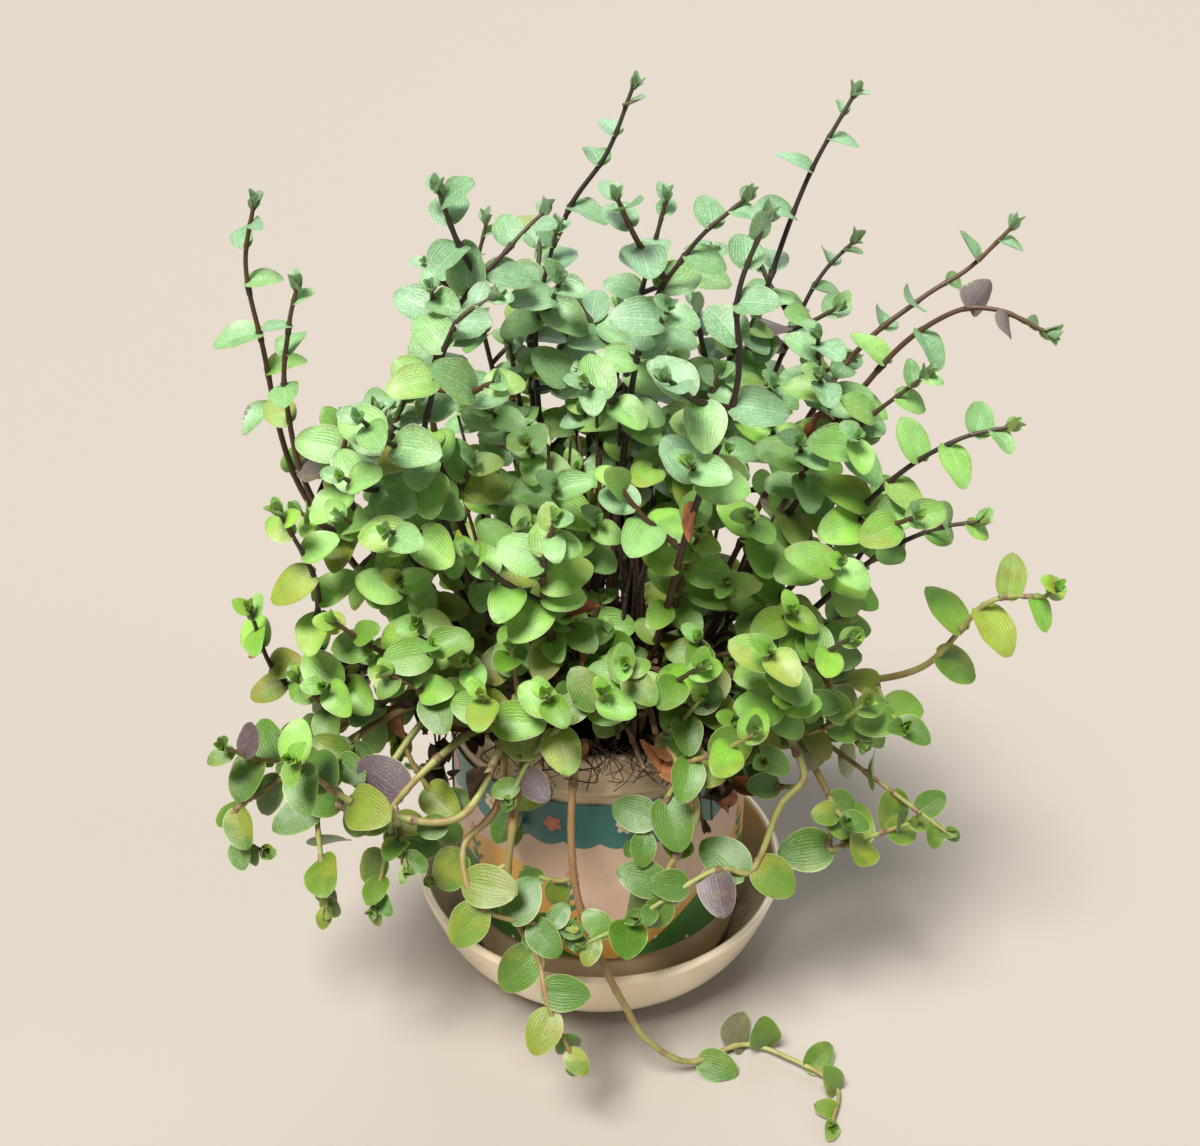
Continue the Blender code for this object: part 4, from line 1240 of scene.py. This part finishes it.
def print_blob(shape, across, height, outline, slot, layer=1):
    """A flat printed mark: a fan round its middle from a function of the turn to a radius."""
    points = [on_print(across, height, layer)]
    for k in range(BLOB_STEPS):
        turn = 2 * math.pi * k / BLOB_STEPS
        reach = outline(turn)
        points.append(on_print(across + reach * math.cos(turn), height + reach * math.sin(turn),
                               layer))
    faces = [(0, k + 1, (k + 1) % BLOB_STEPS + 1) for k in range(BLOB_STEPS)]
    shape.add(points, faces, None, slot)


def print_petal(shape, across, height, lean, length, width, slot):
    """A printed leaf from its foot, leaning this far off upright, pointed at both ends."""
    sides = []
    for way in (-1, 1):
        for k in range(PETAL_STEPS)[::way]:
            share = k / (PETAL_STEPS - 1)
            half = way * width / 2 * math.sin(math.pi * share) ** 0.8
            x = share * length * math.sin(lean) + half * math.cos(lean)
            z = share * length * math.cos(lean) - half * math.sin(lean)
            sides.append(on_print(across + x, height + z, 2))
    shape.add(sides, [tuple(range(len(sides)))], None, slot)


def print_line(shape, run, width, slot):
    """A printed stroke through (across, height) places."""
    points, faces = [], []
    for i, (across, height) in enumerate(run):
        a, b = run[max(i - 1, 0)], run[min(i + 1, len(run) - 1)]
        span = math.dist(a, b)
        nx, nz = (a[1] - b[1]) / span * width / 2, (b[0] - a[0]) / span * width / 2
        points += [on_print(across + nx, height + nz, 1), on_print(across - nx, height - nz, 1)]
        if i:
            faces.append((2 * i - 2, 2 * i - 1, 2 * i + 1, 2 * i))
    shape.add(points, faces, None, slot)


def edge(value, place):
    """0 below this place and 1 above it, with a crisp printed edge."""
    return ramp(value, place - 0.0002, place + 0.0002)


def make_sleeve():
    """The sleeve itself, with its printed grounds."""
    made, tree, shader = new_finish("sleeve_print", 0.36)
    u, _ = surface(tree, "surface")
    around, z = u * (2 * math.pi), height_of(tree)
    sky = edge(z + abs((around * 14.0).apply("SINE")) * 0.0022, 0.082)
    roll = ((around * 3.0).apply("COSINE") + 0.35) * -0.013
    hills = 1.0 - edge(z - roll, 0.050)
    glow = ((around * 3.0 + 2.2).apply("COSINE") + 0.1) * 0.012
    dawn = 1.0 - edge(z - glow, 0.058)
    scuff = ramp(grain(tree, 160, 6), 0.62, 0.8)
    paint(shader, (0.60, 0.43, 0.32), (ramp(grain(tree, 55, 4), 0.35, 0.7), (0.56, 0.38, 0.27)),
          (dawn, (0.62, 0.34, 0.07)), (hills, (0.055, 0.17, 0.035)), (sky, (0.04, 0.16, 0.145)),
          (scuff * 0.25, (0.25, 0.18, 0.11)))
    bump(shader, grain(tree, 1200, 2), 0.00004, 0.5)
    inner = POT_RADIUS + FIT_GAP
    profile = [(PRINT_RADIUS, LABEL_BOTTOM), (PRINT_RADIUS, LABEL_TOP), (inner, LABEL_TOP),
               (inner, LABEL_BOTTOM)]
    piece = turned_piece("sleeve_sheet", profile, made)
    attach(piece, "root")
    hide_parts("printed_sleeve")


def make_motifs():
    """Flowers on the band, sprigs on the field, and dots over the hills."""
    shape = Shape()
    draw = random.Random(SEED + 5)
    girth = 2 * math.pi * PRINT_RADIUS
    for k in range(FLOWERS):
        across = girth * (k + 0.35) / FLOWERS
        size, petals, spin = draw.uniform(3.1, 4.1), draw.choice((5, 6)), draw.uniform(0, 1)
        level = 89.0 + 2.2 * math.sin(2.4 * k)
        print_blob(shape, across, level,
                   lambda t: size * (0.62 + 0.38 * abs(math.cos(petals * (t + spin) / 2))),
                   ROSE if k % 2 else CREAM)
        print_blob(shape, across, level, lambda t: size * 0.27, GOLD, 2)
    for k in range(SPRIGS):
        across = girth * (k + 0.7) / SPRIGS
        foot = 46.0 + 4 * math.sin(1.9 * k)
        lean = draw.uniform(-3, 3)
        run = [(across + lean * (s / STROKE_STEPS) ** 2, foot + 20 * s / STROKE_STEPS)
               for s in range(STROKE_STEPS + 1)]
        print_line(shape, run, 0.6, GREEN)
        for x, height in run[2:7:2]:
            for way in (-1, 1):
                print_petal(shape, x, height, way * 0.75, 4.6, 1.9, GREEN)
        print_blob(shape, run[-1][0], run[-1][1] + 1.6,
                   lambda t: 2.5 * (0.75 + 0.25 * math.cos(3 * t + 1.6)), CORAL, 2)
    for k in range(DOTS):
        print_blob(shape, girth * (k + 0.5) / DOTS, 37.0 + 3.2 * math.sin(2.1 * k), lambda t: 0.75,
                   CREAM)
    marks = shape.finish("sleeve_motifs", [plain_finish(*ink, 80, 0.36) for ink in INKS])
    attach(marks, "root")


# The soil and what lies and hangs over it

SOIL_RINGS, SOIL_STEPS = 34, 120
SOIL_WALL = POT_RADIUS - POT_WALL - FIT_GAP
ANY_TURN = (0, 6.283)
FRONT = -math.pi / 2
CRUMB, ROOT, DARK_LEAF, RUST_LEAF, DRY_STEM = range(5)
CRUMBS, FALLEN_LEAVES, HANGING_LEAVES = 900, 110, 70
BROWN_STEMS, TALL_OLD_STEMS, RIM_ROOTS = 60, 64, 46
SKIRT_STEMS, FRONT_SKIRT_STEMS = 54, 48
# Where red-brown dry leaves have caught between the stems
RUST_LEAVES = ((-12, -44, 166), (73, -6, 192), (101, 4, 165), (30, -60, 137), (-100, -21, 143),
               (26, -32, 202), (2, -44, 151), (88, -2, 199), (60, 40, 190), (-40, 44, 200))


def lumpy(x, y):
    """A smooth uneven height, in millimetres, from a few crossed waves."""
    return (0.55 * math.sin(0.31 * x + 1.3) * math.cos(0.27 * y)
            + 0.4 * math.sin(0.71 * x - 0.43 * y) + 0.3 * math.cos(1.13 * y + 0.6 * x))


def make_soil():
    """The mound of soil, whose lower part follows the inside of the tub."""
    shape = Shape()
    steps = SOIL_STEPS
    turns = [2 * math.pi * k / steps for k in range(steps)]
    points = []
    for i in range(SOIL_RINGS):
        radius = SOIL_WALL * (1 - i / SOIL_RINGS)
        for turn in turns:
            x, y = radius * math.cos(turn), radius * math.sin(turn)
            lump = lumpy(x, y) * min(1, (SOIL_WALL - radius) / 3)
            points.append((x, y, soil_height(radius) + lump))
    faces = ring_faces(SOIL_RINGS, steps)
    top, inmost = len(points), len(points) - steps
    points.append((0, 0, SOIL_CROWN))
    faces += [(inmost + k, inmost + (k + 1) % steps, top) for k in range(steps)]
    floor = DISH_FLOOR + 2 * FIT_GAP + POT_FLOOR
    upper, lower, bottom = top + 1, top + 1 + steps, top + 1 + 2 * steps
    for radius, z in ((SOIL_WALL, floor + 10.0), (41.5, floor)):
        points += [(radius * math.cos(turn), radius * math.sin(turn), z) for turn in turns]
    points.append((0, 0, floor))
    for k in range(steps):
        after = (k + 1) % steps
        faces += [(after, upper + after, upper + k, k),
                  (upper + after, lower + after, lower + k, upper + k),
                  (lower + after, bottom, lower + k)]
    shape.add(points, faces, None, 0)
    earth = plain_finish("earth", (0.035, 0.022, 0.013), (0.075, 0.046, 0.026), 400, 0.95, 0.0012)
    mound = shape.finish("soil_mound", [earth], 80)
    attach(mound, "root")
    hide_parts("soil")


def make_litter(paths):
    """Crumbs, fallen and hanging dry leaves, dead stems and thin roots."""
    shape = Shape()
    draw = random.Random(SEED + 77)
    for _ in range(CRUMBS):
        x, y, height = on_soil(0.97, draw)
        add_crumb(shape, Vector((x, y, height + lumpy(x, y) + 0.1)), draw.uniform(0.4, 1.5), draw)
    for _ in range(FALLEN_LEAVES):
        x, y, height = on_soil(0.96, draw)
        place = Vector((x, y, height + draw.uniform(0.8, 9.0)))
        leaf = dead_leaf(place, draw, draw.uniform(6, 13))
        axis = Vector((leaf.axis.x, leaf.axis.y, abs(leaf.axis.z) * 0.3)).normalized()
        normal = square_to(axis, Vector((0, 0, 1)) + leaf.normal * 0.5)
        leaf = leaf._replace(axis=axis, normal=normal, side=normal.cross(axis))
        add_dry_leaf(shape, leaf, draw, (-0.1, 0.4), (0.3, 1), (DARK_LEAF, DARK_LEAF, RUST_LEAF))
    add_caught_leaves(shape, paths, draw)
    add_dead_stems(shape, draw)
    add_rim_roots(shape, draw)
    add_dry_skirt(shape, draw)
    finishes = [plain_finish("crumb", (0.05, 0.03, 0.018), (0.11, 0.07, 0.04), 600, 0.95, 0.0004),
                plain_finish("root", (0.09, 0.045, 0.03), (0.04, 0.02, 0.015), 500, 0.8),
                plain_finish("dry_leaf_dark", (0.075, 0.036, 0.016), (0.03, 0.016, 0.009), 300, 0.8,
                             0.0004),
                plain_finish("dry_leaf_rust", (0.40, 0.15, 0.045), (0.20, 0.075, 0.03), 260, 0.7,
                             0.0004),
                plain_finish("dry_stem", (0.17, 0.10, 0.045), (0.07, 0.038, 0.018), 400, 0.75, 0.0003)]
    piece = shape.finish("soil_litter", finishes)
    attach(piece, "root")


def on_soil(share, draw):
    """A random place within this share of the soil's radius: x, y and the soil's height there."""
    radius, turn = SOIL_WALL * math.sqrt(draw.random()) * share, draw.uniform(*ANY_TURN)
    return radius * math.cos(turn), radius * math.sin(turn), soil_height(radius)


def outward(turn):
    """The directions out of the pot at this turn, and to the side of that."""
    out = Vector((math.cos(turn), math.sin(turn), 0))
    return out, Vector((-out.y, out.x, 0))


def square_to(axis, normal):
    """The direction nearest to the normal that is square to the axis."""
    return (normal - axis * normal.dot(axis)).normalized()


def add_crumb(shape, place, size, draw):
    """A small uneven lump: a squashed octahedron with its corners moved."""
    corners = [Vector(c) * size * draw.uniform(0.7, 1.2) for c in
               ((1, 0, 0), (0, 1, 0), (-1, 0, 0), (0, -1, 0), (0, 0, 0.8), (0, 0, -0.8))]
    spin = Matrix.Rotation(draw.uniform(*ANY_SPIN), 3, Vector([draw.gauss(0, 1) for _ in range(3)]))
    faces = [(0, 1, 4), (1, 2, 4), (2, 3, 4), (3, 0, 4), (1, 0, 5), (2, 1, 5), (3, 2, 5), (0, 3, 5)]
    shape.add([place + spin @ c for c in corners], faces, None, CRUMB)


def dead_leaf(place, draw, size):
    """A dry blade that hangs from a stem or lies where it fell."""
    axis = Vector([draw.gauss(0, 1), draw.gauss(0, 1), draw.gauss(-0.5, 0.7)]).normalized()
    normal = axis.orthogonal().normalized()
    normal.rotate(Matrix.Rotation(draw.uniform(*ANY_SPIN), 3, axis))
    return loose_leaf(place, axis, normal, size, 0.7, 1.2)


def add_dry_leaf(shape, leaf, draw, curls, shrivels, slots):
    """A blade curled and shrivelled by draws from these ranges, in one of these colours."""
    points = leaf_points(leaf, draw, COARSE, draw.uniform(*curls), draw.uniform(*shrivels))
    slot = draw.choice(slots) if len(slots) > 1 else slots[0]
    shape.add(points, COARSE.faces, COARSE.corners, slot, (draw.random(), 0.5))


def add_caught_leaves(shape, paths, draw):
    """Dry leaves still on the stems, and red-brown ones caught between them."""
    routes = [path for path, _ in paths.values()]
    for index in range(HANGING_LEAVES):
        path = routes[index % len(routes)]
        length = line_length(path)
        base, _ = along_line(path, length - draw.uniform(14, min(75, length * 0.6)))
        leaf = dead_leaf(base, draw, draw.uniform(6, 12))
        add_dry_leaf(shape, leaf, draw, (0.1, 0.6), (0.4, 1), (DARK_LEAF, RUST_LEAF, RUST_LEAF))
    for place in RUST_LEAVES:
        base = min((p for path in routes for p in path), key=lambda p: (p - Vector(place)).length)
        leaf = dead_leaf(base, draw, draw.uniform(8, 11))
        add_dry_leaf(shape, leaf, draw, (0.2, 0.5), (0.5, 0.9), (RUST_LEAF,))


def add_dead_stems(shape, draw):
    """Brown stems that lie over the rim, then bare ones that stand inside the clump."""
    for index in range(BROWN_STEMS):
        turn = draw.uniform(*ANY_TURN) if index < BROWN_STEMS // 2 else draw.gauss(FRONT, 0.8)
        radius = draw.uniform(12, 44)
        base = Vector((radius * math.cos(turn), radius * math.sin(turn), soil_height(radius) - 1))
        out, side = outward(turn)
        reach = draw.uniform(16, 34)
        side = side * draw.uniform(-14, 14)
        middle = base + out * reach * 0.5 + side * 0.5
        middle.z = POT_TOP + 4 + draw.uniform(0, 14)
        end = base + out * reach + side
        end.z = POT_TOP + 4 + draw.uniform(-1, 22)
        path = smooth_route(base, [base, middle, end])
        add_tube(shape, path, [draw.uniform(0.65, 1.0)] * len(path), 6, DRY_STEM, (draw.random(), 0.5))
    for _ in range(TALL_OLD_STEMS):
        turn, radius = draw.uniform(*ANY_TURN), 42 * math.sqrt(draw.random())
        out, _ = outward(turn)
        radius *= 0.55 if out.y < -0.2 else 1
        base = out * radius + Vector((0, 0, soil_height(radius) - 1))
        tall = draw.uniform(45, 112) - 0.6 * radius
        top = out * (radius * draw.uniform(1.05, 1.5)) + Vector(
            (draw.uniform(-7, 7), draw.uniform(-3, 9), SOIL_CROWN + tall))
        bend = base.lerp(top, 0.5) + Vector((draw.uniform(-4, 4), draw.uniform(-4, 4), 5))
        path = smooth_route(base, [base, bend, top], 3.0)
        size = draw.uniform(0.7, 1.0)
        radii = [size * (1 - 0.4 * k / len(path)) for k in range(len(path))]
        add_tube(shape, path, radii, 6, draw.choice((ROOT, ROOT, DRY_STEM)), (draw.random(), 0.5))


def add_rim_roots(shape, draw):
    """Thin dark roots that wander over the front of the rim."""
    for _ in range(RIM_ROOTS):
        out, side = outward(draw.gauss(FRONT + 0.1, 0.75))
        start = out * draw.uniform(38, 47) + Vector((0, 0, SOIL_EDGE + 1))
        rim = out * draw.uniform(51, 53) + side * draw.uniform(-4, 4)
        rim.z = POT_TOP + draw.uniform(0.5, 3)
        points = [start, rim]
        place = out * (RIM_RADIUS + draw.uniform(0.8, 3)) + side * draw.uniform(-7, 7)
        place.z = POT_TOP - draw.uniform(0, 5)
        drift = draw.uniform(-2.5, 2.5)
        for _ in range(draw.choice((1, 2, 3, 4))):
            points.append(place.copy())
            drift = 0.5 * drift + draw.uniform(-3.5, 3.5)
            place = place + side * drift + out * draw.uniform(-0.2, 0.9)
            place.z -= draw.uniform(0.3, 4.5)
        path = smooth_route(start, points, 0.7)
        add_tube(shape, path, [draw.uniform(0.12, 0.22)] * len(path), 5, ROOT, (draw.random(), 0.5))


def at_very_front(place, right):
    """True right in front of the pot, where no long dry stem hangs over its rim."""
    return place.y < -46 and -40 < place.x < right


def add_dry_skirt(shape, draw):
    """Dry stems over the rim, with dead leaves on; at the very front they are short dark threads."""
    for index in range(SKIRT_STEMS):
        turn = draw.gauss(FRONT + 0.2, 0.75) if index < FRONT_SKIRT_STEMS else draw.uniform(*ANY_TURN)
        out, side = outward(turn)
        start = out * draw.uniform(36, 46) + Vector((0, 0, SOIL_EDGE + 1))
        rim = out * (RIM_RADIUS - 2) + side * draw.uniform(-6, 6)
        rim.z = POT_TOP + draw.uniform(2, 5)
        over = out * (RIM_RADIUS + draw.uniform(2.5, 6)) + side * draw.uniform(-12, 12)
        over.z = POT_TOP + draw.uniform(-4, 1)
        end = over + side * draw.uniform(-11, 11) + out * draw.uniform(0.5, 4)
        end.z = over.z - draw.uniform(3, 26)
        size, slot = draw.uniform(0.25, 0.65), DRY_STEM
        if at_very_front(end, 30):
            end.z = over.z - draw.uniform(-2, 5)
            size, slot = size * 0.4, ROOT
        path = smooth_route(start, [start, rim, over, end])
        add_tube(shape, path, [size] * len(path), 6, slot, (draw.random(), 0.5))
        for _ in range(draw.choice((1, 2, 3))):
            base = path[draw.randrange(len(path) // 2, len(path))]
            if at_very_front(base, 26):
                continue
            axis = out * draw.uniform(-0.1, 0.9) + side * draw.uniform(-1, 1)
            axis = (axis + Vector((0, 0, draw.uniform(-0.9, 0.7)))).normalized()
            normal = square_to(axis, (out + Vector((0, 0, draw.uniform(0, 0.8)))).normalized())
            leaf = loose_leaf(base, axis, normal, draw.uniform(4, 10.5), 0.75, 1.2)
            add_dry_leaf(shape, leaf, draw, (0.1, 0.7), (0.3, 0.8),
                         (DARK_LEAF, DARK_LEAF, DARK_LEAF, RUST_LEAF, DRY_STEM))


# Floor and light

FLOOR_REACH = 300.0
FLOOR_COLOUR = (0.40, 0.355, 0.31, 1)
LIT_PLACE = Vector((0, 0, 0.14))
# Each sun's place, width as an angle, strength and colour
SUNS = {"key": ((-0.34, -0.5, 1.3), 0.38, 5.5, (1.0, 0.98, 0.95)),
        "side": ((0.95, -0.35, 0.75), 0.6, 0.45, (0.93, 0.97, 1.0)),
        "back": ((0.15, 0.8, 1.0), 0.6, 0.8, (0.9, 0.96, 1.0))}
SKY_COLOUR, SKY_STRENGTH = (0.92, 0.92, 0.85, 1), 0.21


def make_studio():
    """A plain pale floor, three soft suns and an even sky."""
    corners = [(x * FLOOR_REACH, y * FLOOR_REACH, 0) for x, y in ((-1, -1), (1, -1), (1, 1), (-1, 1))]
    mesh = bpy.data.meshes.new("floor")
    mesh.from_pydata(corners, [], [(0, 1, 2, 3)])
    finish, _, _ = new_finish("floor", 0.8, (("Base Color", FLOOR_COLOUR),))
    mesh.materials.append(finish)
    floor = put("floor", mesh)
    for name, (place, width, power, colour) in SUNS.items():
        lamp = bpy.data.lights.new(name, "SUN")
        lamp.angle, lamp.energy, lamp.color = width, power, colour
        holder = put(name, lamp)
        holder.location = place
        holder.rotation_euler = (LIT_PLACE - Vector(place)).to_track_quat("-Z", "Y").to_euler()
    world = bpy.data.worlds.new("studio")
    world.use_nodes = True
    sky = world.node_tree.nodes["Background"]
    sky.inputs[0].default_value = SKY_COLOUR
    sky.inputs[1].default_value = SKY_STRENGTH
    SCENE.world = world
    SCENE.view_settings.view_transform = "Standard"


def main():
    """Dresses every solid, lights the plant and notes how large the solids and the scene are."""
    paths = lay_stems()
    leaves = grow_leaves(paths)
    shoots = grow_shoots(paths)
    every = fine_leaves(paths, shoots, leaves)
    print(len(paths), "stems", len(leaves), "leaves in the solids", len(shoots), "shoots",
          len(every), "leaves")
    dress_plant(paths, shoots, every, plant_finishes())
    make_dish()
    make_pot()
    make_sleeve()
    make_motifs()
    make_soil()
    make_litter(paths)
    make_studio()


main()
